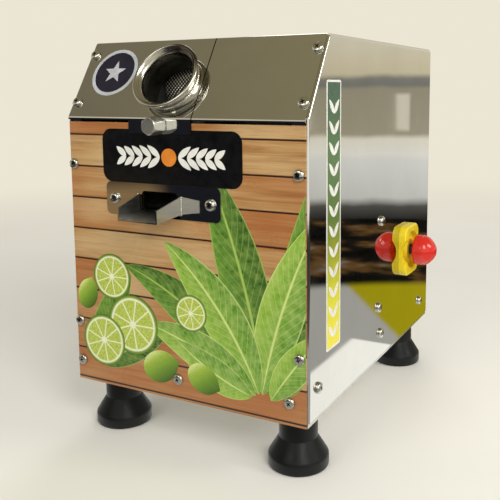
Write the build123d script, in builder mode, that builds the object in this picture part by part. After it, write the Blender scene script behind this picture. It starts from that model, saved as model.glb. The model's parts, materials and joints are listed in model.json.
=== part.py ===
from build123d import *
import math
import os

# A countertop sugarcane juicer: a sheet-metal cabinet around a three-roller mill.
# Millimetres. +X runs to the right and +Y to the rear as seen from the front, +Z runs up.
# The origin lies on the counter, under the middle of the machine's overall box.

# Cabinet
BODY_W = 300.0
BODY_D = 418.0
BODY_H = 391.0
FRONT_H = 309.0  # upright front, up to the foot of the sloping face
SLOPE_D = 51.0  # how far the sloping face leans back
SHEET = 1.5
FLANGE = 18.0  # inward flanges of the side panels
BEND_R = 2.5  # bends of the side panels
PANEL_W = BODY_W - 2 * BEND_R  # panels and covers end where those bends begin
FOLD_R = 4.0  # folds of the covers, at the middle of the sheet
REAR_LIP = 18.0  # the covers fold down behind the rear panel by this much
SIDE_RAISE = 5.0  # the side panels stop this far above the cabinet's lower edge
TRAY_SHEET = 2.0
TRAY_WALL = 45.0
FRONT_PANEL_H = 301.5  # leaves a shadow gap under the covers
FRONT_LIP = 2.3  # the covers fold down in front of the panel by this much
SEAM_X = 18.0  # seam between the two covers, from the cabinet's middle
SEAM_GAP = 0.6
TAB_LEFT_X = -62.5
TAB_LOW_H = 290.0

# Feet
FOOT_H = 62.0
FOOT_R = 32.8
FOOT_NECK_R = 21.0
FOOT_SKIRT_H = 13.0
FOOT_CONE_H = 32.0
FOOT_X = 118.0
FOOT_Y = 166.5
FOOT_BOLT_R = 5.0
FOOT_BOLT_L = 32.0

# Fasteners
HEAD_R = 6.0
HEAD_H = 4.0
SHANK_R = 2.5
SHANK_L = 9.0
HOLE_R = 2.6
EDGE_IN = 8.5  # screw line of the covers, in from the cabinet's side edges
FRONT_SCREW_X = (-142.0, 140.5)  # upright screw lines of the front panel
LOW_SCREW_X = (-140.5, -5.5, 129.5)

# Feed mouth and juice outlet
MILL_OFFSET = -21.5  # middle of the mill, from the cabinet's middle
FEED_UP = 41.3  # feed axis, measured up the slope from its lower edge
MOUTH_R = 30.5
MOUTH_WALL = 1.5
MOUTH_RIM_R = 39.5
MOUTH_BEAD_R = 2.0
MOUTH_NECK = 7.0  # where the tube begins to flare
MOUTH_PROUD = 15.5
MOUTH_INSIDE = 22.0
SPOUT_REACH = 40.0
SPOUT_OFFSET = -24.0
SPOUT_FLANGE_W = 148.0
SPOUT_FLANGE_H = 36.0
SPOUT_FLANGE_MID = 218.5
SPOUT_ROOT_W = 55.5
SPOUT_TIP_W = 50.0
SPOUT_FLOOR_H = 207.5
SPOUT_FALL = 4.5
OUTLET_W = 46.0
OUTLET_H = 21.0
CHUTE_REACH = 40.0

# Mill
NIP_DEPTH = 62.0  # from the sloping face to the first nip along the feed axis
HALF_ANGLE = math.radians(37.5)  # of the triangle of rollers, at the top roller
ROLL_R = 33.0
ROLL_HALF = 39.0
PLATE_IN = 40.0  # inner faces of the mill plates, from the mill's middle
PLATE_T = 10.0
JOURNAL_R = 14.0
BUSH_R = 20.0
BUSH_FLANGE_R = 24.0
BUSH_FLANGE_T = 3.0
RUN_FIT = 0.05
SEAT_R = 12.0

MILL_FOOT_T = 8.0
TIE_R = 8.0
CLAMP_T = 14.0
CLAMP_H = 299.0  # clamp bolt and bar, above the cabinet's lower edge
CLAMP_BOLT_R = 5.0

# Gears
TOOTH_MODULE = 4.0
TEETH = 17
PRESSURE = math.radians(20)
TOOTH_THIN = 0.25  # tooth thinning that gives the running backlash
GEAR_FACE_W = 24.0
GEAR_HUB_R = 21.0
GEAR_HUB_L = 5.0

# Drive
DRIVE_OFFSET = 106.0  # middle of the gearbox, from the mill's middle
GEARBOX_HALF = 42.0
WORM_DROP = 50.0
BARREL_R = 32.0
GEARBOX_R = 46.0
FLANGE_R = 42.0
FLANGE_T = 14.0
BOLT_R = 4.0
BOLT_L = 36.0
MOTOR_R = 52.0
MOTOR_CORE_R = 46.0
MOTOR_L = 166.0
FIN_COUNT = 24

# Stop switch on the right side
STOP_Y = 100.0
STOP_H = 121.5
STOP_REACH = 42.0
STOP_HEAD_R = 20.0
STOP_BARREL_R = 11.0
STOP_STEM_R = 7.0
STOP_HEAD_LOW = 12.0  # underside of the head, above the panel
STOP_SHROUD_W = 58.0
STOP_SHROUD_H = 66.0
STOP_LOBE_H = 9.5
STOP_SCOOP_R = 24.0
STOP_SCOOP_LOW = 3.5  # bottom of the finger scoop, above the panel
STOP_BARREL_L = 30.0  # length of the barrel behind the panel's face

# Cable entry in the rear panel
GLAND_X = 90.0
GLAND_H = 80.0

# Derived frame of the cabinet
CAB_X = -(STOP_REACH - HEAD_H) / 2
LEFT_X = CAB_X - BODY_W / 2
RIGHT_X = CAB_X + BODY_W / 2
FRONT_Y = -BODY_D / 2
REAR_Y = BODY_D / 2
BASE_Z = FOOT_H
SLOPE_Z = BASE_Z + FRONT_H
TOP_Z = BASE_Z + BODY_H
FLOOR_Z = BASE_Z + TRAY_SHEET
MILL_X = CAB_X + MILL_OFFSET
DRIVE_X = MILL_X + DRIVE_OFFSET

SLOPE_RISE = BODY_H - FRONT_H
SLOPE_LEN = math.hypot(SLOPE_D, SLOPE_RISE)
SLOPE_SIN = SLOPE_D / SLOPE_LEN
SLOPE_COS = SLOPE_RISE / SLOPE_LEN

front_face = Plane(origin=(CAB_X, FRONT_Y, BASE_Z), x_dir=(1, 0, 0), z_dir=(0, -1, 0))
rear_face = Plane(origin=(CAB_X, REAR_Y, BASE_Z), x_dir=(-1, 0, 0), z_dir=(0, 1, 0))
right_face = Plane(origin=(RIGHT_X, 0, BASE_Z), x_dir=(0, 1, 0), z_dir=(1, 0, 0))
left_face = Plane(origin=(LEFT_X, 0, BASE_Z), x_dir=(0, -1, 0), z_dir=(-1, 0, 0))
slope_face = Plane(
    origin=(CAB_X, FRONT_Y, SLOPE_Z), x_dir=(1, 0, 0), z_dir=(0, -SLOPE_COS, SLOPE_SIN)
)

# Screw positions on each face
SCREW_X = BODY_W / 2 - EDGE_IN
upright_points = [(x, h) for x in FRONT_SCREW_X for h in (71.0, 254.0)]
low_points = [(x, 24.0) for x in LOW_SCREW_X]
rear_upright_points = [(-x, h) for x, h in upright_points]
rear_low_points = [(-x, h) for x, h in low_points]
slope_points = [(x, up) for x in (-SCREW_X, SCREW_X) for up in (16.0, 79.0)]
LIP_H = BODY_H - 11.0
drive_lip_points = [(-SCREW_X, LIP_H), (-SEAM_X - 25.0, LIP_H)]
feed_lip_points = [(-SEAM_X + 25.0, LIP_H), (SCREW_X, LIP_H)]
right_points = [(-186.0, 35.0), (168.0, 31.0)]
left_points = [(-y, h) for y, h in right_points]
spout_points = [(MILL_OFFSET - 62.0, SPOUT_FLANGE_MID), (MILL_OFFSET + 62.0, SPOUT_FLANGE_MID)]
chute_points = [(-MILL_OFFSET + x, h) for x in (-48.0, 48.0) for h in (172.0, 212.0)]
foot_points = [(CAB_X + x, y) for x in (-FOOT_X, FOOT_X) for y in (-FOOT_Y, FOOT_Y)]
mill_foot_points = [
    (MILL_X + x, y) for x in (-PLATE_IN - 21.0, PLATE_IN + 21.0) for y in (-170.0, -85.0)
]

# Roller axes, as (Y, Z)
feed_y = FRONT_Y + FEED_UP * SLOPE_SIN
feed_z = SLOPE_Z + FEED_UP * SLOPE_COS
nip_y = feed_y + NIP_DEPTH * SLOPE_COS
nip_z = feed_z - NIP_DEPTH * SLOPE_SIN
PITCH_R = TOOTH_MODULE * TEETH / 2
CENTRES = 2 * PITCH_R
top_axis = (
    nip_y + PITCH_R * math.sin(HALF_ANGLE),
    nip_z + PITCH_R * math.cos(HALF_ANGLE),
)
feed_axis = (
    top_axis[0] - CENTRES * math.sin(HALF_ANGLE),
    top_axis[1] - CENTRES * math.cos(HALF_ANGLE),
)
discharge_axis = (
    top_axis[0] + CENTRES * math.sin(HALF_ANGLE),
    top_axis[1] - CENTRES * math.cos(HALF_ANGLE),
)
flange_points = [
    (top_axis[0] + 34 * math.cos(turn), top_axis[1] + 34 * math.sin(turn))
    for turn in (math.radians(45 + 90 * step) for step in range(4))
]

# Juice tray, and the tie bars: two near the floor and two that carry the tray
pan_half = PLATE_IN - 1
pan_front = FRONT_Y + SHEET
pan_rear = discharge_axis[0] + 46
pan_low = BASE_Z + SPOUT_FLOOR_H + 1.0
pan_high = pan_low + 20
pan_rim = pan_low + 38
pan_rise = (pan_high - pan_low) / (pan_rear - pan_front)
tie_rows = [FRONT_Y + 30, FRONT_Y + 134]
tie_drop = SHEET + TIE_R * math.hypot(1, pan_rise)
tie_points = [(y, BASE_Z + 52) for y in tie_rows]
tie_points += [(y, pan_low + pan_rise * (y - pan_front) - tie_drop) for y in tie_rows]

motor_z = top_axis[1] - WORM_DROP
motor_y = top_axis[0] + 62.0

os.makedirs("parts", exist_ok=True)


def slope_z(y, inset):
    """Height of the sloping face, moved inward by inset, at a depth y."""
    return SLOPE_Z + (SLOPE_COS * (y - FRONT_Y) - inset) / SLOPE_SIN


def slope_y(z, inset):
    """Depth of the sloping face, moved inward by inset, at a height z."""
    return FRONT_Y + (SLOPE_SIN * (z - SLOPE_Z) + inset) / SLOPE_COS


def cross_plane(x, axis):
    """A plane through a cross axis, with local x along +X and local y along +Z."""
    return Plane(origin=(x, axis[0], axis[1]), x_dir=(1, 0, 0), z_dir=(0, -1, 0))


def drill(plane, points, radius):
    """Cuts round holes at the points of a face through the part in hand."""
    with BuildSketch(plane) as holes:
        with Locations(*points):
            Circle(radius)
    extrude(holes.sketch, amount=SHANK_L, both=True, mode=Mode.SUBTRACT)


def turned(plane, steps):
    """A round piece about the plane's local x axis, from (length, radius) steps."""
    outline = [(0, 0)]
    reach = 0
    for length, radius in steps:
        outline.append((reach, radius))
        reach += length
        outline.append((reach, radius))
    outline.append((reach, 0))
    with BuildPart() as piece:
        with BuildSketch(plane):
            Polygon(*outline, align=None)
        revolve(axis=Axis(plane.origin, plane.x_dir))
    return piece.part


def pan_screws(plane, points, shank=SHANK_L):
    """Pan-head screws standing on a face, one solid at each point."""
    with BuildPart() as screws:
        with BuildSketch(plane):
            with Locations(*points):
                Circle(HEAD_R)
        extrude(amount=HEAD_H)
        crowns = screws.edges().group_by(Axis(plane.origin, plane.z_dir))[-1]
        fillet(crowns, radius=HEAD_H * 0.6)
        with BuildSketch(plane):
            with Locations(*points):
                Circle(SHANK_R)
        extrude(amount=-shank)
    return screws.part


def hex_bolts(plane, points, across, head, radius, shank):
    """Hexagon-head bolts standing on a face, one solid at each point."""
    with BuildPart() as bolts:
        with BuildSketch(plane):
            with Locations(*points):
                RegularPolygon(radius=across / 2, side_count=6, major_radius=False)
        extrude(amount=head)
        with BuildSketch(plane):
            with Locations(*points):
                Circle(radius)
        extrude(amount=-shank)
    return bolts.part


def flat_bolts(length, gap):
    """Countersunk bolts from the right mill plate's inner face, widened by a gap."""
    inner_x = MILL_X + PLATE_IN
    with BuildPart() as bolts:
        for place in flange_points:
            with BuildSketch(cross_plane(inner_x, place)):
                Polygon(
                    (0, 0),
                    (0, 2 * BOLT_R + gap),
                    (BOLT_R, BOLT_R + gap),
                    (length, BOLT_R + gap),
                    (length, 0),
                    align=None,
                )
            revolve(axis=Axis((inner_x, *place), (1, 0, 0)))
    return bolts.part


def save(part, label):
    """Names a finished piece and writes it to its own file."""
    part.label = label
    export_step(part, f"parts/{label}.step")


# Cabinet sheet metal

with BuildPart() as base_tray:
    with BuildSketch(Plane.XY.offset(BASE_Z)):
        with Locations((CAB_X, 0)):
            Rectangle(BODY_W - 2 * SHEET, BODY_D - 2 * SHEET)
    extrude(amount=TRAY_WALL)
    offset(amount=-TRAY_SHEET, openings=base_tray.faces().sort_by(Axis.Z)[-1])
    drill(front_face, low_points, HOLE_R)
    drill(rear_face, rear_low_points, HOLE_R)
    drill(right_face, right_points, HOLE_R)
    drill(left_face, left_points, HOLE_R)
    drill(Plane.XY.offset(BASE_Z), foot_points, FOOT_BOLT_R + 0.2)
    drill(Plane.XY.offset(BASE_Z), mill_foot_points, FOOT_BOLT_R + 0.2)
save(base_tray.part, "base_tray")

with BuildPart() as front_panel:
    with BuildSketch(front_face):
        with Locations((0, FRONT_PANEL_H / 2)):
            Rectangle(PANEL_W, FRONT_PANEL_H)
    extrude(amount=-SHEET)
    with BuildSketch(front_face):
        with Locations((SPOUT_OFFSET, SPOUT_FLOOR_H + OUTLET_H / 2)):
            RectangleRounded(OUTLET_W, OUTLET_H, 4)
    extrude(amount=-SHEET, mode=Mode.SUBTRACT)
    drill(front_face, upright_points + low_points + spout_points, HOLE_R)
    drill(front_face, [(MILL_OFFSET, CLAMP_H)], CLAMP_BOLT_R + 0.5)
save(front_panel.part, "front_panel")

with BuildPart() as side_blank:
    low_z = BASE_Z + SIDE_RAISE
    with BuildSketch(Plane.YZ.offset(RIGHT_X - FLANGE)) as side_outline:
        Polygon(
            (FRONT_Y + SHEET, low_z),
            (FRONT_Y + SHEET, slope_z(FRONT_Y + SHEET, SHEET)),
            (slope_y(TOP_Z - SHEET, SHEET), TOP_Z - SHEET),
            (REAR_Y - SHEET, TOP_Z - SHEET),
            (REAR_Y - SHEET, low_z),
            align=None,
        )
        front_crest = side_outline.vertices().group_by(Axis.Y)[-1].sort_by(Axis.X)[0]
        fillet(front_crest, radius=FOLD_R - SHEET / 2)
        rear_crest = side_outline.vertices().group_by(Axis.Y)[-1].sort_by(Axis.X)[-1]
        fillet(rear_crest, radius=FOLD_R - SHEET / 2)
    extrude(amount=FLANGE)
    skin = side_blank.faces().sort_by(Axis.X)[-1]
    bends = skin.edges().sort_by(Axis.Z)[1:]
    fillet(bends, radius=BEND_R)
    open_side = side_blank.faces().sort_by(Axis.X)[0]
    open_foot = side_blank.faces().sort_by(Axis.Z)[0]
    offset(amount=-SHEET, openings=[open_side, open_foot])
    with BuildSketch(Plane.YZ.offset(RIGHT_X - FLANGE)):
        with Locations((0, BASE_Z + TRAY_WALL / 2)):
            Rectangle(BODY_D, TRAY_WALL + 1)
    extrude(amount=FLANGE - SHEET, mode=Mode.SUBTRACT)


def flange_holes():
    """Cuts the screw holes in the flanges of the side panel in hand."""
    drill(front_face, upright_points, HOLE_R)
    drill(rear_face, rear_upright_points, HOLE_R)
    drill(slope_face, slope_points, HOLE_R)
    drill(rear_face, drive_lip_points[:1] + feed_lip_points[1:], HOLE_R)


with BuildPart() as side_panel_right:
    add(side_blank.part)
    flange_holes()
    drill(right_face, right_points, HOLE_R)
    drill(right_face, [(STOP_Y, STOP_H)], STOP_BARREL_R + 0.1)
save(side_panel_right.part, "side_panel_right")

with BuildPart() as side_panel_left:
    mirror(side_blank.part, about=Plane.YZ.offset(CAB_X))
    flange_holes()
    drill(left_face, left_points, HOLE_R)
save(side_panel_left.part, "side_panel_left")

with BuildPart() as rear_panel:
    rear_h = BODY_H - SHEET - FOLD_R
    with BuildSketch(rear_face):
        with Locations((0, rear_h / 2)):
            Rectangle(PANEL_W, rear_h)
        with Locations((-MILL_OFFSET, 192)):
            Rectangle(80, 58, mode=Mode.SUBTRACT)
        with Locations((-MILL_OFFSET - DRIVE_OFFSET, 330)):
            with GridLocations(0, 11, 1, 6):
                SlotOverall(76, 5, mode=Mode.SUBTRACT)
    extrude(amount=-SHEET)
    drill(rear_face, rear_upright_points + rear_low_points + chute_points, HOLE_R)
    drill(rear_face, drive_lip_points + feed_lip_points, HOLE_R)
    drill(rear_face, [(-GLAND_X, GLAND_H)], 8.2)
save(rear_panel.part, "rear_panel")


front_fold = (FRONT_Y - SHEET / 2, slope_z(FRONT_Y - SHEET / 2, SHEET / 2))


def cover_sheet(x, width):
    """The folded sheet of a cover: the front lip, the slope, the flat top and the rear lip."""
    with BuildPart() as cover:
        with BuildSketch(Plane.YZ.offset(x)):
            with BuildLine():
                FilletPolyline(
                    (front_fold[0], front_fold[1] - FRONT_LIP),
                    front_fold,
                    (slope_y(TOP_Z - SHEET / 2, SHEET / 2), TOP_Z - SHEET / 2),
                    (REAR_Y + SHEET / 2, TOP_Z - SHEET / 2),
                    (REAR_Y + SHEET / 2, TOP_Z - REAR_LIP),
                    radius=FOLD_R,
                )
            trace(line_width=SHEET)
        extrude(amount=width)
    return cover.part


with BuildPart() as feed_cover:
    add(cover_sheet(CAB_X - PANEL_W / 2, PANEL_W / 2 + SEAM_X))
    with BuildSketch(Plane.YZ.offset(CAB_X + TAB_LEFT_X)):
        with BuildLine():
            FilletPolyline(
                (FRONT_Y - SHEET / 2, BASE_Z + TAB_LOW_H),
                front_fold,
                (slope_y(SLOPE_Z + 12, SHEET / 2), SLOPE_Z + 12),
                radius=FOLD_R,
            )
        trace(line_width=SHEET)
    extrude(amount=SEAM_X - TAB_LEFT_X)
    drill(slope_face, slope_points[:2], HOLE_R)
    drill(rear_face, feed_lip_points, HOLE_R)
    drill(slope_face, [(MILL_OFFSET, FEED_UP)], MOUTH_R + MOUTH_WALL)
    drill(front_face, [(MILL_OFFSET, CLAMP_H)], CLAMP_BOLT_R + 0.5)
save(feed_cover.part, "feed_cover")

with BuildPart() as drive_cover:
    add(cover_sheet(CAB_X + SEAM_X + SEAM_GAP, PANEL_W / 2 - SEAM_X - SEAM_GAP))
    drill(slope_face, slope_points[2:], HOLE_R)
    drill(rear_face, drive_lip_points, HOLE_R)
save(drive_cover.part, "drive_cover")

# Feed mouth: a bell on the slope's normal, turned about the feed axis

mouth_plane = Plane(
    origin=(MILL_X, feed_y, feed_z), x_dir=(0, -SLOPE_COS, SLOPE_SIN), z_dir=(1, 0, 0)
)
with BuildPart() as feed_mouth:
    tube_r = MOUTH_R + MOUTH_WALL
    bead_out = MOUTH_PROUD - MOUTH_BEAD_R
    bead_up = MOUTH_RIM_R - MOUTH_BEAD_R
    rim_back = (bead_out - MOUTH_BEAD_R, bead_up)
    rim_crown = (bead_out + 0.45 * MOUTH_BEAD_R, bead_up + 0.893 * MOUTH_BEAD_R)
    rim_inner = (bead_out + 0.6 * MOUTH_BEAD_R, bead_up - 0.8 * MOUTH_BEAD_R)
    with BuildSketch(mouth_plane):
        with BuildLine():
            Line((-MOUTH_INSIDE, MOUTH_R), (-MOUTH_INSIDE, tube_r))
            Line((-MOUTH_INSIDE, tube_r), (MOUTH_NECK - 2, tube_r))
            Spline((MOUTH_NECK - 2, tube_r), rim_back, tangents=[(1, 0), (0, 1)])
            ThreePointArc(rim_back, rim_crown, rim_inner)
            Spline(rim_inner, (MOUTH_NECK + 1, MOUTH_R), tangents=[(-0.8, -0.6), (-1, 0)])
            Line((MOUTH_NECK + 1, MOUTH_R), (-MOUTH_INSIDE, MOUTH_R))
        make_face()
    revolve(axis=Axis(mouth_plane.origin, mouth_plane.x_dir))
save(feed_mouth.part, "feed_mouth")

# Juice spout: a flange on the front panel with a tapering open channel

with BuildPart() as juice_spout:
    root_y = SHEET
    tip_y = SPOUT_REACH
    root_top = SPOUT_FLOOR_H + 17.5
    tip_floor = SPOUT_FLOOR_H - SPOUT_FALL
    tip_top = tip_floor + 12.0
    with BuildSketch(front_face):
        with Locations((MILL_OFFSET, SPOUT_FLANGE_MID)):
            RectangleRounded(SPOUT_FLANGE_W, SPOUT_FLANGE_H, 6)
        with Locations((SPOUT_OFFSET, SPOUT_FLOOR_H + OUTLET_H / 2)):
            RectangleRounded(OUTLET_W, OUTLET_H, 4, mode=Mode.SUBTRACT)
    extrude(amount=SHEET)
    with BuildSketch(front_face.offset(root_y)):
        with Locations((SPOUT_OFFSET, (SPOUT_FLOOR_H - SHEET + root_top) / 2)):
            Rectangle(SPOUT_ROOT_W, root_top - SPOUT_FLOOR_H + SHEET)
    with BuildSketch(front_face.offset(tip_y)):
        with Locations((SPOUT_OFFSET, (tip_floor - SHEET + tip_top) / 2)):
            Rectangle(SPOUT_TIP_W, tip_top - tip_floor + SHEET)
    loft()
    with BuildSketch(front_face.offset(root_y)):
        with Locations((SPOUT_OFFSET, SPOUT_FLOOR_H + 15)):
            Rectangle(SPOUT_ROOT_W - 2 * SHEET, 30)
    with BuildSketch(front_face.offset(tip_y)):
        with Locations((SPOUT_OFFSET, tip_floor + 15)):
            Rectangle(SPOUT_TIP_W - 2 * SHEET, 30)
    loft(mode=Mode.SUBTRACT)
    drill(front_face, spout_points, HOLE_R)
save(juice_spout.part, "juice_spout")

# Juice tray under the rollers, falling to the outlet

with BuildPart() as juice_tray:
    with BuildSketch(Plane.YZ.offset(MILL_X - pan_half)):
        Polygon(
            (pan_front, pan_low - SHEET),
            (pan_rear, pan_high - SHEET),
            (pan_rear, pan_rim),
            (pan_front, pan_rim),
            align=None,
        )
    extrude(amount=2 * pan_half)
    with BuildSketch(Plane.YZ.offset(MILL_X - pan_half + SHEET)):
        Polygon(
            (pan_front + SHEET, pan_low),
            (pan_rear - SHEET, pan_high),
            (pan_rear - SHEET, pan_rim),
            (pan_front + SHEET, pan_rim),
            align=None,
        )
    extrude(amount=2 * (pan_half - SHEET), mode=Mode.SUBTRACT)
    with BuildSketch(front_face.offset(-SHEET)):
        with Locations((SPOUT_OFFSET, SPOUT_FLOOR_H + 1 + 9)):
            Rectangle(OUTLET_W - 4, 18)
    extrude(amount=-SHEET, mode=Mode.SUBTRACT)
save(juice_tray.part, "juice_tray")

# Bagasse chute: an open channel from the discharge roller out through the rear panel

with BuildPart() as bagasse_chute:
    chute_half = PLATE_IN - 1
    lip = (discharge_axis[0] + 36, discharge_axis[1] + 16)
    tip = (REAR_Y + CHUTE_REACH, BASE_Z + 147)
    with BuildSketch(Plane.YZ.offset(MILL_X - chute_half)):
        Polygon(lip, tip, (tip[0], tip[1] + 52), (lip[0], lip[1] + 40), align=None)
    extrude(amount=2 * chute_half)
    with BuildSketch(rear_face):
        with Locations((-MILL_OFFSET, 192)):
            RectangleRounded(114, 90, 6)
    extrude(amount=SHEET)
    with BuildSketch(Plane.YZ.offset(MILL_X - chute_half + SHEET)):
        Polygon(
            (lip[0] - 1, lip[1] + SHEET),
            (tip[0] + 1, tip[1] + SHEET),
            (tip[0] + 1, tip[1] + 52.01),
            (lip[0] - 1, lip[1] + 40.01),
            align=None,
        )
    extrude(amount=2 * (chute_half - SHEET), mode=Mode.SUBTRACT)
    drill(rear_face, chute_points, HOLE_R)
save(bagasse_chute.part, "bagasse_chute")

with BuildPart() as bagasse_deflector:
    with BuildSketch(Plane.YZ.offset(MILL_X - PLATE_IN)):
        with BuildLine():
            FilletPolyline(
                (top_axis[0] + 36, top_axis[1] + 6),
                (top_axis[0] + 60, top_axis[1] + 30),
                (top_axis[0] + 110, top_axis[1] + 16),
                (top_axis[0] + 130, top_axis[1] - 8),
                radius=10,
            )
        trace(line_width=SHEET)
    extrude(amount=2 * PLATE_IN)
save(bagasse_deflector.part, "bagasse_deflector")

# Mill frame


def mill_plate(inner_x, outward):
    """An upright plate with three bearing seats and a foot that bolts to the tray."""
    plate_front = FRONT_Y + 9
    plate_rear = discharge_axis[0] + 12
    with BuildPart() as plate:
        with BuildSketch(Plane.YZ.offset(inner_x)):
            Polygon(
                (plate_front, FLOOR_Z),
                (plate_front, SLOPE_Z + 5),
                (FRONT_Y + 43, TOP_Z - 21),
                (top_axis[0] + 38, TOP_Z - 17),
                (discharge_axis[0] + 34, discharge_axis[1] + 47),
                (discharge_axis[0] + 34, discharge_axis[1] - 43),
                (plate_rear, discharge_axis[1] - 103),
                (plate_rear, FLOOR_Z),
                align=None,
            )
        extrude(amount=outward * PLATE_T)
        corners = plate.edges().filter_by(Axis.X).sort_by(Axis.Z)[2:]
        fillet(corners, radius=12)
        with BuildSketch(Plane.YZ.offset(inner_x)):
            with Locations(top_axis, feed_axis, discharge_axis):
                Circle(BUSH_R)
        extrude(amount=outward * PLATE_T, mode=Mode.SUBTRACT)
        with BuildSketch(Plane.XY.offset(FLOOR_Z)):
            with Locations((inner_x + outward * 16, (plate_front + plate_rear) / 2)):
                Rectangle(32, plate_rear - plate_front)
        extrude(amount=MILL_FOOT_T)
        drill(Plane.XY.offset(FLOOR_Z), mill_foot_points, FOOT_BOLT_R + 0.2)
    return plate.part


save(mill_plate(MILL_X - PLATE_IN, -1), "mill_plate_left")

with BuildPart() as mill_plate_right:
    add(mill_plate(MILL_X + PLATE_IN, 1))
    add(flat_bolts(PLATE_T + 1, 0.1), mode=Mode.SUBTRACT)
save(mill_plate_right.part, "mill_plate_right")

with BuildPart() as mill_tie_bars:
    with BuildSketch(Plane.YZ.offset(MILL_X - PLATE_IN)):
        with Locations(*tie_points):
            Circle(TIE_R)
    extrude(amount=2 * PLATE_IN)
save(mill_tie_bars.part, "mill_tie_bars")

with BuildPart() as clamp_bar:
    with BuildSketch(Plane.YZ.offset(MILL_X - PLATE_IN)):
        with Locations((FRONT_Y + SHEET + CLAMP_T / 2, BASE_Z + CLAMP_H)):
            Rectangle(CLAMP_T, 18)
    extrude(amount=2 * PLATE_IN)
    drill(front_face.offset(-SHEET - 4), [(MILL_OFFSET, CLAMP_H)], CLAMP_BOLT_R + 0.02)
save(clamp_bar.part, "clamp_bar")

save(
    hex_bolts(
        front_face.offset(SHEET), [(MILL_OFFSET, CLAMP_H)], 17.0, 20.0, CLAMP_BOLT_R, 14.0
    ),
    "clamp_bolt",
)

with BuildPart() as trash_plate:
    bed_r = ROLL_R + 4
    bed_half = math.radians(17)
    bed_y = bed_r * math.sin(bed_half)
    bed_z = bed_r * math.cos(bed_half)
    with BuildSketch(Plane.YZ.offset(MILL_X - PLATE_IN)):
        with BuildLine():
            ThreePointArc(
                (top_axis[0] - bed_y, top_axis[1] - bed_z),
                (top_axis[0], top_axis[1] - bed_r),
                (top_axis[0] + bed_y, top_axis[1] - bed_z),
            )
            Polyline(
                (top_axis[0] + bed_y, top_axis[1] - bed_z),
                (top_axis[0] + 6, top_axis[1] - 54),
                (top_axis[0] + 6, top_axis[1] - 78),
                (top_axis[0] - 6, top_axis[1] - 78),
                (top_axis[0] - 6, top_axis[1] - 54),
                (top_axis[0] - bed_y, top_axis[1] - bed_z),
            )
        make_face()
    extrude(amount=2 * PLATE_IN)
save(trash_plate.part, "trash_plate")

# Rollers, turned from one bar with their shafts


def roller(axis, drive_end):
    """A crushing roller with journals, a gear seat on the left and a plain or driven right end."""
    seat = -ROLL_HALF - 45
    shoulder = -PLATE_IN - PLATE_T - BUSH_FLANGE_T - 1
    steps = [
        (shoulder - seat, SEAT_R),
        (-ROLL_HALF - shoulder, JOURNAL_R),
        (1.5, ROLL_R - 1.5),
        (2 * ROLL_HALF - 3, ROLL_R),
        (1.5, ROLL_R - 1.5),
        (14.5, JOURNAL_R),
    ]
    if drive_end:
        steps.append((drive_end, SEAT_R))
    return turned(cross_plane(MILL_X + seat, axis), steps)


def bush_pair(axis):
    """The two flanged bushes that carry one roller in the mill plates."""
    bore = JOURNAL_R + RUN_FIT
    with BuildPart() as bushes:
        for side in (-1, 1):
            face = Plane(
                origin=(MILL_X + side * PLATE_IN, axis[0], axis[1]),
                x_dir=(side, 0, 0),
                z_dir=(0, -1, 0),
            )
            with BuildSketch(face):
                Polygon(
                    (0, bore),
                    (0, BUSH_R),
                    (PLATE_T, BUSH_R),
                    (PLATE_T, BUSH_FLANGE_R),
                    (PLATE_T + BUSH_FLANGE_T, BUSH_FLANGE_R),
                    (PLATE_T + BUSH_FLANGE_T, bore),
                    align=None,
                )
            revolve(axis=Axis(face.origin, face.x_dir))
    return bushes.part


save(roller(top_axis, DRIVE_OFFSET + GEARBOX_HALF - ROLL_HALF - 12), "top_roller")
save(roller(feed_axis, 0), "feed_roller")
save(roller(discharge_axis, 0), "discharge_roller")
save(bush_pair(top_axis), "top_bushes")
save(bush_pair(feed_axis), "feed_bushes")
save(bush_pair(discharge_axis), "discharge_bushes")

# Gears: involute spur wheels in mesh at rest

BASE_R = PITCH_R * math.cos(PRESSURE)
TIP_R = PITCH_R + TOOTH_MODULE
ROOT_R = PITCH_R - 1.25 * TOOTH_MODULE
TOOTH_STEP = 2 * math.pi / TEETH


def half_tooth(radius):
    """Half the angle that a tooth spans at a radius on its involute flanks."""
    at_pitch = TOOTH_STEP / 4 - TOOTH_THIN / CENTRES
    tilt = math.acos(min(1.0, BASE_R / radius))
    return at_pitch + (math.tan(PRESSURE) - PRESSURE) - (math.tan(tilt) - tilt)


def mesh_angle(axis):
    """Turn of a wheel whose gap meets the top wheel's tooth, for a top wheel at zero turn."""
    toward = math.atan2(axis[1] - top_axis[1], axis[0] - top_axis[0])
    return 2 * toward + math.pi + TOOTH_STEP / 2


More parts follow.
